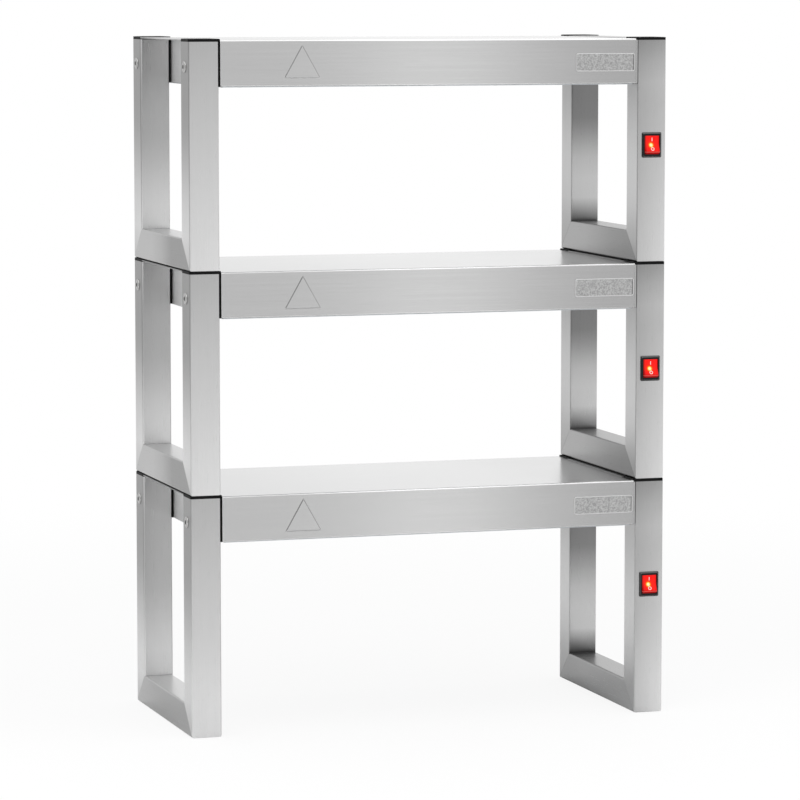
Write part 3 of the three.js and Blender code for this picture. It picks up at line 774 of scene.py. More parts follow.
def end_skins(tier, side):
    """End wall, wing and two welded nuts of one end."""
    low, high = tier["skirt_end"], tier["shelf_top"]
    middle = (0, MIDDLE_Y, (low + high) / 2)
    facing = "+x" if side > 0 else "-x"
    along, inset = soft_ends(SHELF_END - SHEET, SHELF_END, 0.5 * MM)
    wall = inset_rectangles((REAR - FRONT, high - low), FOLD, inset)
    along_wing, wing_inset = soft_ends(SHELF_END - 2 * SHEET, OUTSIDE, 0.3 * MM, 3)
    wing = inset_rectangles((REAR - FRONT - 2 * (TUBE + WING_GAP), SHEET), 0.35 * MM, wing_inset)
    skins = [
        Skin(set_up(wall, along, facing, middle)),
        Skin(set_up(wing, along_wing, facing, (0, MIDDLE_Y, high + WING_RISE - SHEET / 2))),
    ]
    for end_name, y in LEG_Y.items():
        nut_along, nut_inset = soft_ends(SHELF_END - NUT_LENGTH, SHELF_END - SHEET, 0.6 * MM, 3)
        nut = hexagons(NUT_FLATS - 2 * nut_inset, 24)
        screw_low, screw_high = box_of(f"{tier['name']}_screw_{end_name}_left")
        skins.append(Skin(set_up(nut, nut_along, facing, (0, y, (screw_low[2] + screw_high[2]) / 2))))
    return skins


def end_painted_light(tier):
    """Painted shade on the wings: darker on the uppermost shelf and darker still on the lower ones, under a rail, while
    the end walls are painted a little lighter.
    """

    def tone(points):
        between_legs = np.abs(points[:, 1] - MIDDLE_Y) < (REAR - FRONT) / 2 - TUBE
        on_wing = between_legs & (points[:, 2] > tier["shelf_top"] - MM)
        return np.where(on_wing, 0.60 if tier is tiers[-1] else 0.40, 1.06)

    return tone


for tier in tiers:
    node = f"{tier['name']}_shelf_shell"
    sheet = make_piece(
        f"{node}_sheet",
        [sheet_skin(tier)],
        shelf_finish,
        replaces=[node],
        wall=SHEET,
        tone=shelf_painted_light(tier),
    )
    ends = [skin for side in SIDES.values() for skin in end_skins(tier, side)]
    make_piece(f"{node}_ends", ends, end_finish, replaces=[node], tone=end_painted_light(tier))
print("a folded sheet has", len(sheet.data.polygons), "faces")

# %% [markdown]
# The black tongue between shelf and leg shows as a line at the left end of each skirt and as
# no more than a hairline at the right end. Why isn't known. The guess made here is a narrow
# return of the skirt, a strip of sheet that laps over the tongue on the right.

# %% Returns of the skirts
RETURN_ROWS = np.array([(0, -0.4), (0, 0.16), (0.04, 0.25), (0.12, 0.28)]) * MM
RETURN_X = (SHELF_END - 0.5 * MM, LEG_X - TUBE / 2 - 0.3 * MM)


def return_skin(tier):
    """Rows of (inset, distance in front of the skirt), as wide as the gap and as high as the skirt's flat."""
    low, high = tier["skirt_end"] + 0.2 * MM, tier["shelf_top"] - FOLD + 0.6 * MM
    inset, distance = RETURN_ROWS.T
    rings = inset_rectangles((RETURN_X[1] - RETURN_X[0], high - low), 0.3 * MM, inset)
    return Skin(set_up(rings, distance, "-y", (sum(RETURN_X) / 2, FRONT, (low + high) / 2)))


for tier in tiers:
    make_piece(f"{tier['name']}_skirt_return", [return_skin(tier)], shelf_finish, tone=skirt_painted_light)
print("returns", round((RETURN_X[1] - RETURN_X[0]) / MM, 2), "mm wide")

# %% [markdown]
# ## Black mouldings
#
# Caps and bezels are glass-filled nylon from a spark-eroded mould. It isn't pure black, it has
# a fine dull texture, and edges that are touched turn slightly lighter and smoother. The
# texture follows the piece's own coordinates, because a moulding has no grain direction.

# %% Moulded plastic


def moulding(name, colour, roughness, texture=0.03 * MM, gloss=0.5):
    """A point with a tone above 1 is polished: it gets that much more of a clear coat."""
    finish = new_finish(name)
    polish = tone_of(finish) - 1
    place = object_place(finish)
    pits = noise(place, (1400, 1400, 1400))
    wear = noise(place, (60, 60, 60), 3.0)
    return finish.shader(
        Base_Color=scaled_colour(colour, 0.75 + wear * 0.5),
        Roughness=roughness + (pits - 0.5) * 0.14 + (wear - 0.5) * 0.12,
        Specular_IOR_Level=gloss,
        Coat_Weight=polish.clipped(),
        Coat_Roughness=0.12,
        Normal=relief(pits, texture, 0.3),
    )


cap_finish = moulding("moulded_cap", (0.005, 0.005, 0.0053), 0.52, gloss=0.08)
switch_finish = moulding("moulded_switch", (0.005, 0.005, 0.0055), 0.30, 0.012 * MM, 0.16)
gland_finish = moulding("moulded_gland", (0.028, 0.029, 0.031), 0.40)
print("mouldings:", cap_finish.name, switch_finish.name, gland_finish.name)

# %% [markdown]
# ## The leg caps
#
# A cap closes a leg, carries the next tier and keeps the hot shelf away from the leg: its
# tongue hangs between them and shows as a thin black line. Its top is a shallow cushion, so
# only the middle bears. All three parts are stacks of rounded rectangles: the flange swells
# up to its cushion, the tongue is a soft-edged strip, and the plug has two gripping ribs.

# %% Flange, tongue and plug
CUSHION = 0.4 * MM
PLUG_DEPTHS = np.array([14, 12.8, 12.7, 11.7, 11.6, 6.2, 6.1, 5.1, 5.0, 0]) * MM
PLUG_WIDTHS = np.array([33.4, 34.2, 36.4, 36.4, 34.4, 34.4, 36.6, 36.6, 34.6, 34.6]) * MM


def each_leg():
    """Every leg as its tier, its side, its y and the end of its nodes' names."""
    for tier in tiers:
        for side_name, side in SIDES.items():
            for end_name, y in LEG_Y.items():
                yield tier, side, y, f"{end_name}_{side_name}"


def flange_skin(low, high, base, top):
    """Straight sides, a quarter round of 0.4 mm, then the cushion: its height falls short of the top
    by the cushion's height times (1 - s) cubed, with s the share of the way from the round to the
    innermost ring."""
    size = high - low
    centre = (low + high) / 2
    round_up = np.linspace(0, np.pi / 2, 5)
    edge = 0.4 * MM
    run = 0.42 * min(size)
    shoulder = top - CUSHION
    inset = np.concatenate([[0], edge * (1 - np.cos(round_up)), np.linspace(edge, run, 8)[1:]])
    dome = top - CUSHION * (1 - (inset[6:] - edge) / (run - edge)) ** 3
    height = np.concatenate([[base], shoulder - edge + edge * np.sin(round_up), dome])
    rings = rounded_rectangles(size[0] - 2 * inset, size[1] - 2 * inset, np.maximum(TUBE_CORNER - inset, 0.4 * MM))
    return Skin(set_up(rings, height, "+z", (*centre, 0)))


def tongue_skin(low, high, bottom, top):
    """A strip with soft edges, rings lying flat and stacked upwards."""
    height, inset = soft_ends(bottom, top, 0.4 * MM)
    rings = inset_rectangles(high - low, 0.5 * MM, inset)
    return Skin(set_up(rings, height, "+z", (*(low + high) / 2, 0)))


def plug_skin(centre, top):
    """A square plug whose width swells at two ribs."""
    rings = rounded_rectangles(PLUG_WIDTHS, PLUG_WIDTHS, 1.2 * MM, 3)
    return Skin(set_up(rings, top - PLUG_DEPTHS, "+z", (*centre, 0)))


for tier, side, y, place in each_leg():
    node = f"{tier['name']}_cap_{place}"
    low, high = box_of(node)
    tongue_x = sorted([side * (OUTSIDE - TUBE), side * SHELF_END])
    tongue_low, tongue_high = np.array([tongue_x, [low[1], high[1]]]).T
    skins = [
        flange_skin(low[:2], high[:2], tier["leg_top"], tier["cap_top"]),
        tongue_skin(tongue_low, tongue_high, tier["tongue_end"], tier["leg_top"] + MM),
        plug_skin((side * LEG_X, y), tier["leg_top"]),
    ]
    make_piece(f"{node}_moulding", skins, cap_finish, replaces=[node])
print("caps:", len(list(each_leg())))

# %% [markdown]
# ## Button-head screws
#
# Each leg is held by one screw with a domed head and a hexagon socket. It is a turned part
# with one thing a lathe can't do, so its rings are circles up to the mouth of the socket and
# hexagons from there down. Turned steel has fine marks round its axis, which follow the ring
# direction of the grain.

# %% Turned steel


def turned_steel(name, colour, roughness):
    """Tone times one plus two noises about zero: marks that run round the axis, and stain."""
    finish = new_finish(name)
    place = grain_place(finish)
    rings = noise(place, (5200, 30, 1), 1.0) - 0.5
    stain = noise(place, (120, 120, 1)) - 0.5
    return finish.shader(
        Base_Color=scaled_colour(colour, tone_of(finish) * (1 + rings * 0.14 + stain * 0.10)),
        Roughness=(roughness + rings * 0.10 + stain * 0.08).clipped(0.08, 0.6),
        Metallic=1.0,
        Normal=relief(rings, 0.01 * MM, 0.3),
    )


screw_finish = turned_steel("turned_steel", (0.50, 0.50, 0.495), 0.22)
print("made", screw_finish.name)

# %% Screw surface
LIFT = 2.1 * MM
SOCKET_MOUTH = 3 * MM


def button_screw(at, facing, length, head=7.4 * MM, lift=LIFT, shank=4 * MM, flats=5 * MM, deep=2.4 * MM):
    """Rows from the tip to the socket's floor. The dome is a quarter ellipse: radius = mouth + (head -
    mouth) cos t, height = rim + (lift - rim) sin t."""
    mouth, rim = 0.62 * flats, min(0.45 * MM, lift / 2)
    t = np.linspace(0, np.pi / 2, 9)
    tip = [(shank * 0.78, -length), (shank, -length + shank * 0.22)]
    under_head = [(shank, 0), (head - rim / 2, 0), (head, rim / 2)]
    dome = np.column_stack([mouth + (head - mouth) * np.cos(t), rim + (lift - rim) * np.sin(t)])
    turned = np.array([*tip, *under_head, *dome])
    sunk = np.array([(flats, lift - 0.25 * MM), (flats, lift - deep), (flats * 0.3, lift - deep - 0.3 * MM)])
    rings = np.concatenate([rounds(turned[:, 0]), hexagons(sunk[:, 0])])
    return Skin(set_up(rings, np.concatenate([turned[:, 1], sunk[:, 1]]), facing, at))


def socket_painted_shade(seat):
    """Painted shade in the socket: a fifth of the tone inside its mouth."""

    def tone(points):
        from_axis = np.hypot(points[:, 1] - seat[1], points[:, 2] - seat[2])
        height = np.abs(points[:, 0]) - abs(seat[0])
        return np.where((from_axis < SOCKET_MOUTH) & (height > 0) & (height < LIFT - 0.2 * MM), 0.2, 1.0)

    return tone


for tier, side, y, place in each_leg():
    node = f"{tier['name']}_screw_{place}"
    low, high = box_of(node)
    seat = np.array([side * OUTSIDE, y, (low[2] + high[2]) / 2])
    reach = OUTSIDE - min(abs(low[0]), abs(high[0]))
    skin = button_screw(seat, "+x" if side > 0 else "-x", reach)
    make_piece(f"{node}_turned", [skin], screw_finish, replaces=[node], tone=socket_painted_shade(seat))
print("screws:", len(list(each_leg())))

# %% [markdown]
# ## The switch: bezel and housing
#
# The bezel is a frame with sloping sides that hides the rough edge of the cut-out. Its
# housing clips in behind it and holds the rocker's pocket. Seen as a section, that is one
# line: up the housing, out under the bezel, up its slope, over the front and down into the
# pocket. That line, carried round a rounded rectangle, gives the whole moulding as one skin.

# %% Bezel and housing
BEZEL_SECTION = np.array(
    [
        # width, height, corner radius, distance in front of the leg, all in millimetres
        (20.8, 26.7, 0.6, -15.0),
        (22.8, 28.7, 0.8, -14.0),
        (22.8, 28.7, 0.8, 0.0),
        (27.3, 33.3, 1.9, 0.0),
        (27.5, 33.5, 2.0, 0.15),
        (27.5, 33.5, 2.0, 0.7),
        (27.3, 33.3, 1.9, 0.95),
        (23.9, 29.6, 1.4, 2.7),
        (23.4, 29.1, 1.2, 2.92),
        (22.8, 28.5, 1.0, 3.0),
        (21.5, 24.95, 0.8, 3.0),
        (20.95, 24.3, 0.6, 2.85),
        (20.62, 24.4, 0.5, 2.5),
        (20.6, 25.15, 0.5, 1.5),
        (20.6, 26.5, 0.4, 1.4),
        (20.6, 26.5, 0.4, -12.0),
    ]
)
BLADE_REACH = (-21.5 * MM, -14 * MM)
BLADE = (6.3 * MM, 0.8 * MM)
BLADE_PITCH = 9 * MM


def switch_middle(tier):
    """The middle of the bezel on the leg's front face."""
    low, high = box_of(f"{tier['name']}_switch_body")
    return np.array([(low[0] + high[0]) / 2, FRONT, tier["switch"]])


def bezel_skin(tier):
    """The section's sizes are rings, and its distances are stations towards the front."""
    width, height, radius, distance = (BEZEL_SECTION * MM).T
    return Skin(set_up(rounded_rectangles(width, height, radius), distance, "-y", switch_middle(tier)))


def blade_skin(tier, row):
    """One flat terminal behind the housing, with its edges broken."""
    distance, inset = soft_ends(*BLADE_REACH, 0.3 * MM, 2)
    rings = inset_rectangles(BLADE, 0.35 * MM, inset, 2)
    return Skin(set_up(rings, distance, "-y", switch_middle(tier) + (0, 0, row * BLADE_PITCH)))


def bezel_polish(points):
    """The slope and the rim are polished, the front face isn't: 2 where a point is up to 2.8 mm in front
    of the leg, and 1 beyond."""
    return 2 - eased(FRONT - points[:, 1], 2.75 * MM, 2.95 * MM)


for tier in tiers:
    node = f"{tier['name']}_switch_body"
    make_piece(f"{node}_bezel", [bezel_skin(tier)], switch_finish, replaces=[node], tone=bezel_polish)
    blades = [blade_skin(tier, row) for row in (-1, 0, 1)]
    make_piece(f"{node}_blades", blades, screw_finish, replaces=[node])
print("bezel section has", len(BEZEL_SECTION), "rings")

# %% [markdown]
# ## The rocker and its light
#
# The rocker is clear red plastic over a small neon lamp. Its face is a shallow V, so that one
# half lies flat while the other stands out. Its two ends are arcs about the pivot, which is
# why it can tilt in a tight window. The light could be a lamp inside glass, but that is slow
# and noisy at this size. The glow is painted into the emission instead: deep red all over and
# a yellow core, a little to the left, where the lamp sits behind the lens.

# %% Lens finish
GLOW_AT = (-1.5 * MM, -0.2 * MM)
LENS_STOPS = [
    (0.0, (0.93, 0.006, 0.004)),
    (0.10, (1.0, 0.03, 0.004)),
    (0.28, (1.0, 0.17, 0.008)),
    (0.50, (1.0, 0.58, 0.03)),
    (0.75, (1.0, 0.92, 0.22)),
    (0.95, (1.0, 1.0, 0.62)),
]
GLOW_REACH = 2.5 * MM
# the way, where in millimetres the painted shade begins and where it is full, and its share of the light
LENS_SHADES = [("left", 7.2, 9.6, 0.6), ("right", 9.0, 9.9, 0.5), ("down", 6.6, 8.6, 0.35), ("down", 9.4, 10.4, 0.5)]


def lit_lens(name):
    """The painted glow falls off as 1 / (1 + (distance / reach) to the fourth) from the lamp's place. Towards both
    sides and the lower end it is painted darker, as shade, and a thin line on the lower edge is a painted highlight."""
    finish = new_finish(name)
    place = grain_place(finish)
    across, up = part_of(place, "X"), part_of(place, "Y")
    beside, above = across - GLOW_AT[0], up - GLOW_AT[1]
    spread = (beside * beside + above * above) / GLOW_REACH**2
    swirl = noise(place, (260, 40, 1))
    tint = finish.node(
        "ShaderNodeValToRGB",
        {"stops": LENS_STOPS},
        {0: (1 / (1 + spread * spread) + (swirl - 0.5) * 0.10).clipped()},
    )
    ways = {"left": across * -1, "right": across, "down": up * -1}
    shades = [1 - smooth(ways[way], low * MM, high * MM) * share for way, low, high, share in LENS_SHADES]
    lit = shades[0] * shades[1] * shades[2] * shades[3]
    # a painted highlight along the lower edge
    line = smooth(ways["down"], 8.5 * MM, 9.0 * MM) * (1 - smooth(ways["down"], 9.5 * MM, 10.1 * MM))
    glow = scaled_colour(tint, lit * (0.72 + swirl * 0.5))
    return finish.shader(
        Base_Color=(0.10, 0.001, 0.001),
        Roughness=0.16 + swirl * 0.12,
        Specular_IOR_Level=0.15,
        Emission_Color=mixed_colour(line * 0.4, glow, (0.75, 0.16, 0.13)),
        Emission_Strength=1.0,
    )


lens_finish = lit_lens("lit_red_lens")
print("glow is", round(GLOW_AT[0] / MM, 1), "mm beside the middle")

# %% Rocker surface
FACE_OFFSET, FACE_HALF, FACE_ANGLE = 4.5 * MM, 11 * MM, math.radians(12)
CORNER_Y = -FACE_OFFSET - FACE_HALF * math.tan(FACE_ANGLE)
END_RADIUS = math.hypot(FACE_HALF, CORNER_Y)
ROCKER_HALF_WIDTH = 10 * MM
MIDDLE_SOFTNESS = 1.2 * MM
CORNER_GAP, FACE_SHARE = 0.05, 0.985


def pivot_of(tier):
    """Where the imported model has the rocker's hinge."""
    joint = next(j for j in frame["joints"] if j["child"] == f"{tier['name']}_switch_lever")
    return np.array(joint["pos_m"])


def turned_on(flat):
    """(y, z) turned by the face angle about X, so that the upper half is pressed in."""
    c, s = math.cos(-FACE_ANGLE), math.sin(-FACE_ANGLE)
    return np.stack([flat[..., 0] * c - flat[..., 1] * s, flat[..., 0] * s + flat[..., 1] * c], -1)


def face_height(z):
    """How far in front of the pivot the face stands: the offset plus tan(angle) times the distance from
    the middle, softened there as the root of its square and 1.2 mm squared."""
    return FACE_OFFSET + np.sqrt(z**2 + MIDDLE_SOFTNESS**2) * math.tan(FACE_ANGLE)


def rocker_outline(inset):
    """One ring for each inset: the V with a softened middle, and at either end an arc of the end radius
    about the pivot, both drawn in by the inset. Each stops just short of the corner, which breaks it."""
    inset = np.atleast_1d(inset)[:, None]
    radius = END_RADIUS - inset
    corner = math.atan2(FACE_HALF, CORNER_Y)
    back = math.pi / 2 - FACE_ANGLE
    t = np.linspace(0, 1, 12)
    upper = back + (corner - CORNER_GAP - back) * t
    arc = np.stack([radius * np.cos(upper), radius * np.sin(upper)], -1)
    z = np.linspace(FACE_SHARE, -FACE_SHARE, 25) * FACE_HALF
    face_y = inset - face_height(z)
    face = np.stack([face_y, np.broadcast_to(z, face_y.shape) * (1 - inset / FACE_HALF)], -1)
    return np.concatenate([arc, face, arc[:, ::-1] * (1, -1)], 1)


def rocker_skin(tier):
    """The outline carried along X with soft edges. It runs clockwise seen from +X, so it goes along -X."""
    along, inset = soft_ends(-ROCKER_HALF_WIDTH, ROCKER_HALF_WIDTH, 0.7 * MM, 5)
    outline = turned_on(rocker_outline(inset)) * (-1, 1)
    return Skin(set_up(outline[:, ::-1], along, "-x", pivot_of(tier)))


outline = rocker_outline(0)[0]
area = 0.5 * np.sum(outline[:, 0] * np.roll(outline[:, 1], -1) - np.roll(outline[:, 0], -1) * outline[:, 1])
print("the outline's signed area is", round(area / MM**2, 1), "square millimetres")

# %% [markdown]
# ## Marks on the rocker
#
# The two halves carry the usual signs for on and off, a bar and a ring, pressed into the lens
# and filled with white paint. A texture could draw them, but as thin raised pieces they stay
# crisp at any distance and tilt with the rocker.

# %% Paint


def filled_paint(name):
    """Chalky paint: one fine noise mixes two whites, dulls it and roughens it, and a faint pink glow is painted in."""
    finish = new_finish(name)
    chalk = noise(object_place(finish), (2200, 2200, 2200))
    return finish.shader(
        Base_Color=mixed_colour(chalk, (0.70, 0.56, 0.50), (0.86, 0.74, 0.68)),
        Roughness=0.42 + chalk * 0.2,
        Emission_Color=mixed_colour(chalk, (1.0, 0.62, 0.58), (1.0, 0.74, 0.70)),
        Emission_Strength=0.12,
        Normal=relief(chalk, 0.02 * MM, 0.4),
    )


paint_finish = filled_paint("white_fill")
MARK_LIFT = 0.12 * MM


def face_place(tier, share, half):
    """A point of the rocker's face and the arrow out of it, at a share of the way from the middle to
    the upper (half = 1) or lower (half = -1) edge."""
    flat = np.array([-face_height(share * FACE_HALF), half * share * FACE_HALF])
    outward = np.array([-math.cos(FACE_ANGLE), -half * math.sin(FACE_ANGLE)])
    point, arrow = turned_on(flat), turned_on(outward)
    return pivot_of(tier) + (0, *point), np.array([0, *arrow])


def on_face(rings, stations, place, arrow):
    """Rings set up on a tilted face: side is +X, up is arrow x side, and stations follow the arrow."""
    side = np.array([1.0, 0, 0])
    up = np.cross(arrow, side)
    stations = np.asarray(stations)[:, None, None]
    return place + rings[..., :1] * side + rings[..., 1:] * up + stations * arrow


print("marks stand", MARK_LIFT / MM, "mm proud")

# %% Bar and ring
BAR = (1.0 * MM, 4.6 * MM)
MARK_SUNK, MARK_EDGE = -0.3 * MM, 0.1 * MM


def bar_skin(tier):
    """An upright block with soft edges, from below the face to a little above it."""
    height, inset = soft_ends(MARK_SUNK, MARK_LIFT, MARK_EDGE, 2)
    return Skin(on_face(inset_rectangles(BAR, 0.3 * MM, inset, 4), height, *face_place(tier, 0.56, 1)))


def ring_skin(tier, radius=1.95 * MM, half=0.45 * MM):
    """A ring with a flat-topped section: circles of radius +- half at two heights, joined as a torus."""
    outer_half = [(half, MARK_SUNK), (half, MARK_LIFT - MARK_EDGE), (half - MARK_EDGE, MARK_LIFT)]
    section = np.array([*outer_half, *((-x, height) for x, height in outer_half[::-1])])
    rings = rounds(radius + section[:, 0], 40)
    return Skin(on_face(rings, section[:, 1], *face_place(tier, 0.60, -1)), torus=True)


def from_pivot(tier):
    """The lens is measured sideways and upwards from its pivot."""
    return lambda points: points[:, [0, 2]] - pivot_of(tier)[[0, 2]]


for tier in tiers:
    body = f"{tier['name']}_switch_lever"
    node = f"{tier['name']}_rocker"
    make_piece(f"{node}_lens", [rocker_skin(tier)], lens_finish, body, [node], grain=from_pivot(tier))
    make_piece(f"{node}_on_mark", [bar_skin(tier)], paint_finish, body)
    make_piece(f"{node}_off_mark", [ring_skin(tier)], paint_finish, body)
print("rockers:", len(tiers))

# %% [markdown]
# ## Badge plate and pressed triangle
#
# Near the right end of each front skirt sits a small grained plate with a bright raised rim,
# which is left bare. Near the left end a triangle is pressed out of the sheet: a plain field
# that stands 1.3 mm proud. Both are stacks of rings on the skirt. For the triangle each
# ring is drawn in from the one outside it, so its edge slopes evenly on all three sides.

# %% Grained plate


def grained_metal(name):
    """Pebbled metal: a noise mixes two greys, and a tone from 1 to 2 turns them into the bright rim."""
    finish = new_finish(name)
    place = object_place(finish)
    pebbles = noise(place, (560, 560, 560), 2.0, 0.6)
    light = smooth(pebbles, 0.34, 0.66)
    tone = tone_of(finish)
    field = mixed_colour(light, (0.31, 0.31, 0.31), (0.51, 0.51, 0.51))
    return finish.shader(
        Base_Color=scaled_colour(mixed_colour(tone - 1, field, (0.66, 0.66, 0.66)), tone.clipped()),
        Roughness=0.34 + pebbles * 0.2,
        Metallic=1.0,
        Normal=relief(pebbles, 0.10 * MM, 0.5),
    )


badge_finish = grained_metal("grained_plate")
BADGE = (82 * MM, 23.5 * MM)
BADGE_AT = (239.8 * MM, -33 * MM)
BADGE_RIM = [(0, -0.2), (0, 0.5), (0.15, 0.68), (0.3, 0.75), (0.8, 0.75), (0.95, 0.68)]
BADGE_FIELD = [(1.1, 0.42), (2.0, 0.40), (2.2, 0.40)]


def badge_skin(tier):
    """Rim and sunk field: rows of (inset, distance in front of the skirt)."""
    inset, distance = np.array(BADGE_RIM + BADGE_FIELD).T * MM
    place = (BADGE_AT[0], FRONT, tier["cap_top"] + BADGE_AT[1])
    return Skin(set_up(inset_rectangles(BADGE, 2.8 * MM, inset), distance, "-y", place))


def rim_tone(points):
    """2 on the raised rim, which is lighter, 1 on the grained field, and a third in a narrow strip at
    the right end, which is a painted shadow line."""
    from_right = BADGE_AT[0] + BADGE[0] / 2 - points[:, 0]
    sunk = FRONT - points[:, 1] < 0.5 * MM
    painted_shadow = sunk & (from_right > MM) & (from_right < 2.1 * MM)
    return np.where(painted_shadow, 0.34, 1 + eased(FRONT - points[:, 1], 0.44 * MM, 0.60 * MM))


print("badge plate", [round(v / MM, 1) for v in BADGE], "mm")

# %% Pressed triangle
TRIANGLE = (50.5 * MM, 44 * MM)
TRIANGLE_AT = (-174.6 * MM, -51.4 * MM)
PRESSED = 1.3 * MM
PRESS_WIDTH = 1.8 * MM


def drawn_in_triangles(width, height, inset, radius, steps=5):
    """Rings of an upright triangle drawn in by each inset: its corners, moved along their bisectors by
    the inset plus the radius, plus the radius times (cos t, sin t) between the two sides' arrows."""
    lean = math.atan2(width / 2, height)
    pull = np.atleast_1d(inset)[:, None] + radius
    pull_side = pull / math.tan((math.pi / 2 - lean) / 2)
    pull_top = pull / math.sin(lean)
    x = np.concatenate([width / 2 - pull_side, pull * 0, pull_side - width / 2], 1)
    z = np.concatenate([pull, height - pull_top, pull], 1)
    spans = [(-math.pi / 2, lean), (lean, math.pi - lean), (math.pi - lean, math.pi * 1.5)]
    t = np.concatenate([np.linspace(a, b, steps + 1) for a, b in spans])
    centres = np.repeat(np.stack([x, z], -1), steps + 1, axis=1)
    return centres + radius * np.column_stack([np.cos(t), np.sin(t)])


def triangle_skin(tier):
    """The field stands proud of the skirt, and its edge rises to it as q - 0.55 sin(2 pi q) / (2 pi), a
    slope that is gentler at both ends."""
    q = np.array([0, 0.07, 0.14, 0.22, 0.4, 0.6, 0.78, 0.86, 0.93, 1])
    rise = np.concatenate([[-0.15 * MM], PRESSED * (q - np.sin(2 * np.pi * q) / (2 * np.pi) * 0.55)])
    inset = np.concatenate([[0], q * PRESS_WIDTH])
    place = (TRIANGLE_AT[0], FRONT, tier["cap_top"] + TRIANGLE_AT[1])
    return Skin(set_up(drawn_in_triangles(*TRIANGLE, inset, 0.5 * MM), rise, "-y", place))


def pressed_painted_light(tier):
    """The skirt's tone, but in the middle of the slope the two leaning edges are painted 38 percent darker, as
    shade, and the level one is painted 12 percent brighter, as a highlight."""
    foot = tier["cap_top"] + TRIANGLE_AT[1]

    def tone(points):
        on_edge = np.sin(np.pi * np.clip((FRONT - points[:, 1]) / PRESSED, 0, 1))
        leaning = eased(points[:, 2] - foot, 0.6 * MM, 2.4 * MM)
        return skirt_painted_light(points) * (1 + on_edge * (0.12 - 0.50 * leaning))

    return tone


for tier in tiers:
    make_piece(f"{tier['name']}_badge_plate", [badge_skin(tier)], badge_finish, tone=rim_tone)
    make_piece(
        f"{tier['name']}_pressed_triangle",
        [triangle_skin(tier)],
        shelf_finish,
        tone=pressed_painted_light(tier),
        grain=lambda points: points[:, [0, 2]],
        sharp=math.radians(50),
    )
print("plates and triangles:", 2 * len(tiers))

# %% [markdown]
# ## Cable gland
#
# The supply cord enters through a gland in the rear skirt: a hexagon against the sheet, a
# ribbed dome nut outside and a lock nut inside. Going once round its section, out along the
# outside and back through the bore, closes the surface like a tyre.

# %% Gland surface
GLAND_BORE, GLAND_NECK, GLAND_NOSE, DOME_NUT = 4 * MM, 6 * MM, 2.6 * MM, 8.5 * MM
LOCK_NUT = np.array([(18.2, -5.2), (19, -4.9), (19, -1.6), (18.4, -1.25)]) * MM
OUTER_HEXAGON = np.array([(18.4, 0.0), (19, 0.3), (19, 3.5), (18.2, 4.0)]) * MM
GRIP_DEPTHS = np.array([0.5, 0.5, *np.linspace(0.35, 0, 6)]) * MM


def ribbed(radius, sides, depth=GRIP_DEPTHS, ribs=12):
    """Circles whose radius dips by the depth times the square of sin(ribs * t / 2)."""
    t = np.linspace(0, 2 * np.pi, sides, endpoint=False)
    reach = radius[:, None] - depth[:, None] * np.sin(ribs * t / 2) ** 2
    return reach[..., None] * np.column_stack([np.cos(t), np.sin(t)])


def gland_skin(tier):
    """Rows of (radius, or width across the flats, distance behind the skirt) once round the section. The
    nose is a quarter circle: radius = start + nose cos t, distance = end - nose + nose sin t."""
    low, high = box_of(f"{tier['name']}_cable_gland")
    middle = ((low[0] + high[0]) / 2, REAR, (low[2] + high[2]) / 2)
    inner, outer = low[1] - REAR, high[1] - REAR
    inside = [(GLAND_BORE + 0.3 * MM, inner), (GLAND_NECK - 0.4 * MM, inner), (GLAND_NECK, inner + 0.4 * MM)]
    neck = [(GLAND_NECK, -1.2 * MM), (GLAND_NECK, 0)]
    t = np.linspace(0, np.pi / 2, 6)
    nose = np.column_stack([5.6 * MM + GLAND_NOSE * np.cos(t), outer - GLAND_NOSE + GLAND_NOSE * np.sin(t)])
    dome = np.concatenate([[(DOME_NUT, 4.1 * MM), (DOME_NUT, outer - 4.5 * MM)], nose])
    bore = [(GLAND_BORE + 0.5 * MM, outer), (GLAND_BORE, outer - 0.5 * MM), (GLAND_BORE, inner + 0.3 * MM)]
    shapes = rounds, hexagons, rounds, hexagons, ribbed, rounds
    stretches = [np.array(rows) for rows in (inside, LOCK_NUT, neck, OUTER_HEXAGON, dome, bore)]
    rings = np.concatenate([shape(rows[:, 0], 96) for shape, rows in zip(shapes, stretches)])
    return Skin(set_up(rings, np.concatenate(stretches)[:, 1], "+y", middle), torus=True)


for tier in tiers:
    node = f"{tier['name']}_cable_gland"
    make_piece(f"{node}_nut", [gland_skin(tier)], gland_finish, replaces=[node])
print("glands:", len(tiers))

# %% [markdown]
# ## Under the shelf
#
# A zinc-coated plate closes the shelf from below, held by small screws along the lips. The
# plate, the heating mat, the wool, the thermostat, the terminal block and the wires have the
# right shape already, so they keep their solids and only get their finishes.

# %% Cover screws
COVER_SCREWS = np.array([-255, -90, 90, 255]) * MM
COVER_SCREW = {"head": 3.4 * MM, "lift": 0.25 * MM, "shank": 1.5 * MM, "flats": 2.5 * MM, "deep": 1.0 * MM}
FROM_SKIRT = 9 * MM
for tier in tiers:
    low, high = box_of(f"{tier['name']}_base_cover")
    skins = [
        button_screw((x, y, low[2]), "-z", 6 * MM, **COVER_SCREW)
        for x in COVER_SCREWS
        for y in (FRONT + FROM_SKIRT, REAR - FROM_SKIRT)
    ]
    make_piece(f"{tier['name']}_cover_screws", skins, screw_finish)
print("cover screws on each tier:", len(skins))

# %% Finishes of the inner parts


def zinc_sheet(name):
    """Hot-dip zinc freezes in large flat crystals: cells, each a little lighter or darker."""
    finish = new_finish(name)
    place = object_place(finish)
    values = {"Vector": stretched(place, (70, 70, 70)), "Scale": 1.0}
    cells = finish.node("ShaderNodeTexVoronoi", {"feature": "F1"}, values, output="Color")
    grey = part_of(cells, "X")
    mist = noise(place, (300, 300, 300), 3.0) - 0.5
    return finish.shader(
        Base_Color=scaled_colour((0.50, 0.52, 0.54), 0.86 + grey * 0.22 + mist * 0.1),
        Roughness=0.36 + grey * 0.18,
        Metallic=0.9,
        Normal=relief(mist + 0.5, 0.02 * MM, 0.3),
    )


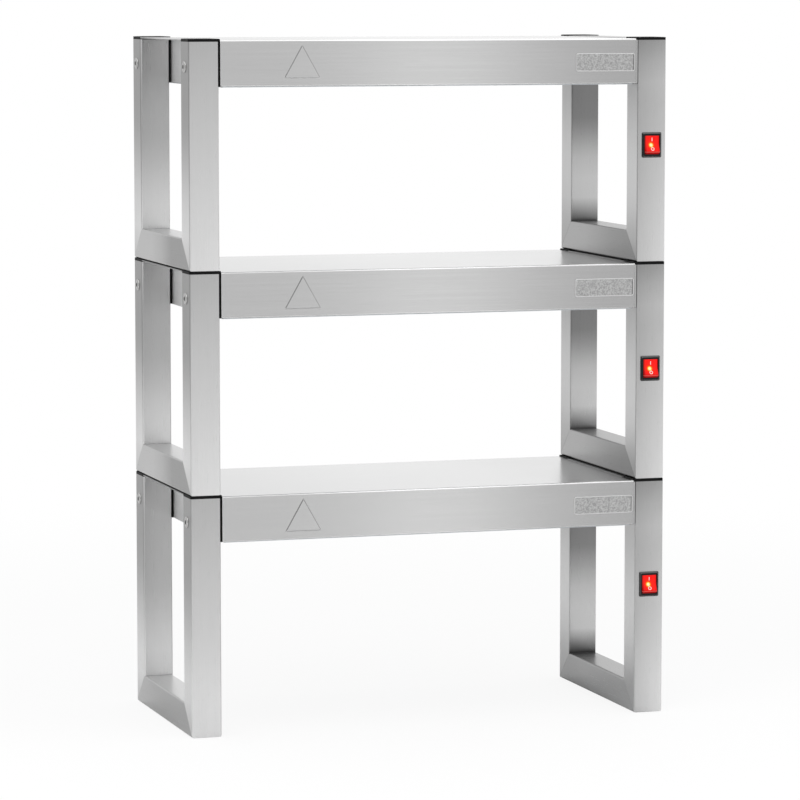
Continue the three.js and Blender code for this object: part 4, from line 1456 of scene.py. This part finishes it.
def coated_cloth(name, colour):
    """Silicone on glass cloth: a fine square weave shows through, a sine each way."""
    finish = new_finish(name)
    place = object_place(finish)
    threads = 2 * math.pi / (1.2 * MM)
    weave = (part_of(place, "X") * threads).sine() * (part_of(place, "Y") * threads).sine() * 0.5 + 0.5
    dust = noise(place, (90, 90, 90), 3.0)
    return finish.shader(
        Base_Color=scaled_colour(colour, 0.8 + weave * 0.2 + dust * 0.2),
        Roughness=0.6 + dust * 0.2,
        Normal=relief(weave, 0.08 * MM, 0.6),
    )


def mineral_wool(name, colour):
    """Fibres that lie mostly flat: noise stretched in the plane, over coarser lumps."""
    finish = new_finish(name)
    place = object_place(finish)
    fibres = noise(place, (260, 260, 2600), 4.0, 0.7)
    lumps = noise(place, (40, 40, 90), 3.0)
    return finish.shader(
        Base_Color=scaled_colour(colour, 0.62 + fibres * 0.4 + lumps * 0.25),
        Roughness=0.92,
        Normal=relief(fibres * 0.6 + lumps, 0.8 * MM, 0.7),
    )


def braided_sleeve(name, colour):
    """A braid on the wires: two slanting sines give the diamond pattern."""
    finish = new_finish(name)
    place = object_place(finish)
    x, y, z = (part_of(place, axis) for axis in "XYZ")
    slant = 2 * math.pi / (1.6 * MM)
    braid = ((x + y + z) * slant).sine() * ((z - x - y) * slant).sine() * 0.5 + 0.5
    return finish.shader(
        Base_Color=scaled_colour(colour, 0.6 + braid * 0.6),
        Roughness=0.72 + braid * 0.12,
        Normal=relief(braid, 0.15 * MM, 0.6),
    )


print("inner finishes are written")

# %% Dress the inner parts
INNER = {
    "base_cover": zinc_sheet("zinc_sheet"),
    "heating_mat": coated_cloth("silicone_mat", (0.46, 0.10, 0.035)),
    "insulation": mineral_wool("mineral_wool", (0.66, 0.60, 0.42)),
    "thermostat": moulding("thermostat_shell", (0.30, 0.28, 0.25), 0.38),
    "terminal_block": moulding("glazed_ceramic", (0.78, 0.75, 0.69), 0.22),
    "wiring_loom": braided_sleeve("braided_sleeve", (0.035, 0.035, 0.038)),
}
for name in TIER_NAMES:
    for part, finish in INNER.items():
        solid = frame["nodes"][f"{name}_{part}"]
        if not solid.material_slots:
            solid.data.materials.append(finish)
        for material_slot in solid.material_slots:
            material_slot.material = finish
print("solids kept:", len(TIER_NAMES) * len(INNER))

# %% [markdown]
# ## Floor, room and light
#
# Steel shows its room more than its own colour, so the room is the most important finish.
# It is plain: white in front and to the right, brightest overhead, a little calmer at the back
# left, and with one tall dark flag at the far left. Photographers stand such flags beside metal,
# because each round corner then draws a thin dark line. The world gives all of it from the
# direction alone, and what the camera itself sees is plain white.

# %% Room
BACK_LEFT, BACK_GAIN = 0.73, 0.42
OVERHEAD, ZENITH_GAIN = 1.10, 1.1
FLAG_WAY, FLAG_DARKNESS = (-0.948, -0.302), 0.70
world = bpy.data.worlds.new("studio")
bpy.context.scene.world = world
room = Finish(world)
direction = room.node("ShaderNodeTexCoord", output="Generated")
sideways, backwards, upwards = (part_of(direction, axis) for axis in "XYZ")
behind = smooth(backwards, -0.4, 0.6)
back_wall = BACK_LEFT + smooth(sideways, -0.45, 0.45) * BACK_GAIN
level = 1 - behind + behind * back_wall
along_floor = (sideways * sideways + backwards * backwards + 0.0001) ** 0.5
to_flag = (sideways * FLAG_WAY[0] + backwards * FLAG_WAY[1]) / along_floor
flag = smooth(to_flag, 0.94, 0.985) * (1 - smooth(upwards, 0.6, 0.8))
above = smooth(upwards, 0.25, 0.9)
level = level * (1 - above) + above * OVERHEAD
level = level * (1 - flag * FLAG_DARKNESS) + smooth(upwards, 0.80, 0.97) * ZENITH_GAIN
seen = room.node("ShaderNodeLightPath", output="Is Camera Ray")
strength = level * (1 - seen) + seen
background = room.tree.nodes["Background"]
room.fill(background.inputs["Color"], (1.0, 1.0, 1.0))
room.fill(background.inputs["Strength"], strength)
print("room:", len(room.tree.nodes), "nodes")

# %% [markdown]
# The floor only has to catch a soft shadow. Towards the camera it is mostly a white glow with
# a little ordinary paper in it, and the paper part darkens where the gantry stands. To every
# other ray it is plain paper, so it never lights the gantry by itself. The sheet in front is
# whiter than the one behind: the lowest legs show both, one on their fronts and one on their sides.

# %% Floor
FLOOR_RADIUS, FLOOR_DROP = 2.6, 0.5 * MM
WHITE_PAPER, GREY_PAPER = 0.78, 0.62
GLOW_SHARE, GLOW_GAIN = 0.88, 0.12


def disc(radius, rings=8, sides=96):
    """Point = radius * q * (cos t, sin t), from the rim inwards, with the small middle ring closed."""
    q = np.linspace(1, 0.02, rings)
    skin = Skin(set_up(rounds(radius * q, sides), np.zeros(rings), "+z", (0, 0, -FLOOR_DROP)), ends=False)
    skin.close((rings - 1) * sides + np.arange(sides), skin.points[-sides:])
    return skin


floor_finish = new_finish("paper_sweep")
glow = floor_finish.node("ShaderNodeEmission", None, {"Color": (1, 1, 1), "Strength": 1.0})
floor_place = object_place(floor_finish)
ways, deep = part_of(floor_place, "X"), part_of(floor_place, "Y")
away = (ways * ways + deep * deep) ** 0.5
fade = smooth(away, 0.9, 2.3)
white, grey = (
    floor_finish.node("ShaderNodeBsdfDiffuse", None, {"Color": (level,) * 3}) for level in (WHITE_PAPER, GREY_PAPER)
)
paper = floor_finish.node("ShaderNodeMixShader", None, {0: smooth(deep, -0.25, 0.25), 1: white, 2: grey})
camera_ray = floor_finish.node("ShaderNodeLightPath", output="Is Camera Ray")
share = camera_ray * (GLOW_SHARE + fade * GLOW_GAIN)
mix = floor_finish.node("ShaderNodeMixShader", None, {0: share, 1: paper, 2: glow})
floor_finish.fill(floor_finish.tree.nodes["Material Output"].inputs["Surface"], mix)
floor = placed("floor", joined("floor", [disc(FLOOR_RADIUS)])[0])
floor.data.materials.append(floor_finish.owner)
print("floor", round(2 * FLOOR_RADIUS, 1), "m across")

# %% Soft box
lamp_data = bpy.data.lights.new("soft_box", "AREA")
lamp_data.shape = "RECTANGLE"
lamp_data.size = 2.2
lamp_data.size_y = 1.6
lamp_data.energy = 14
lamp = placed("soft_box", lamp_data)
lamp.location = (-0.9, -1.6, 2.9)
lamp.rotation_euler = (math.radians(33), 0, math.radians(-29))
print("soft box", lamp_data.size, "x", lamp_data.size_y, "m")

# %% [markdown]
# ## Last look
#
# The picture is read without any tone curve, so a colour comes out about as it was written.

# %% Finish
bpy.context.scene.view_settings.view_transform = "Standard"
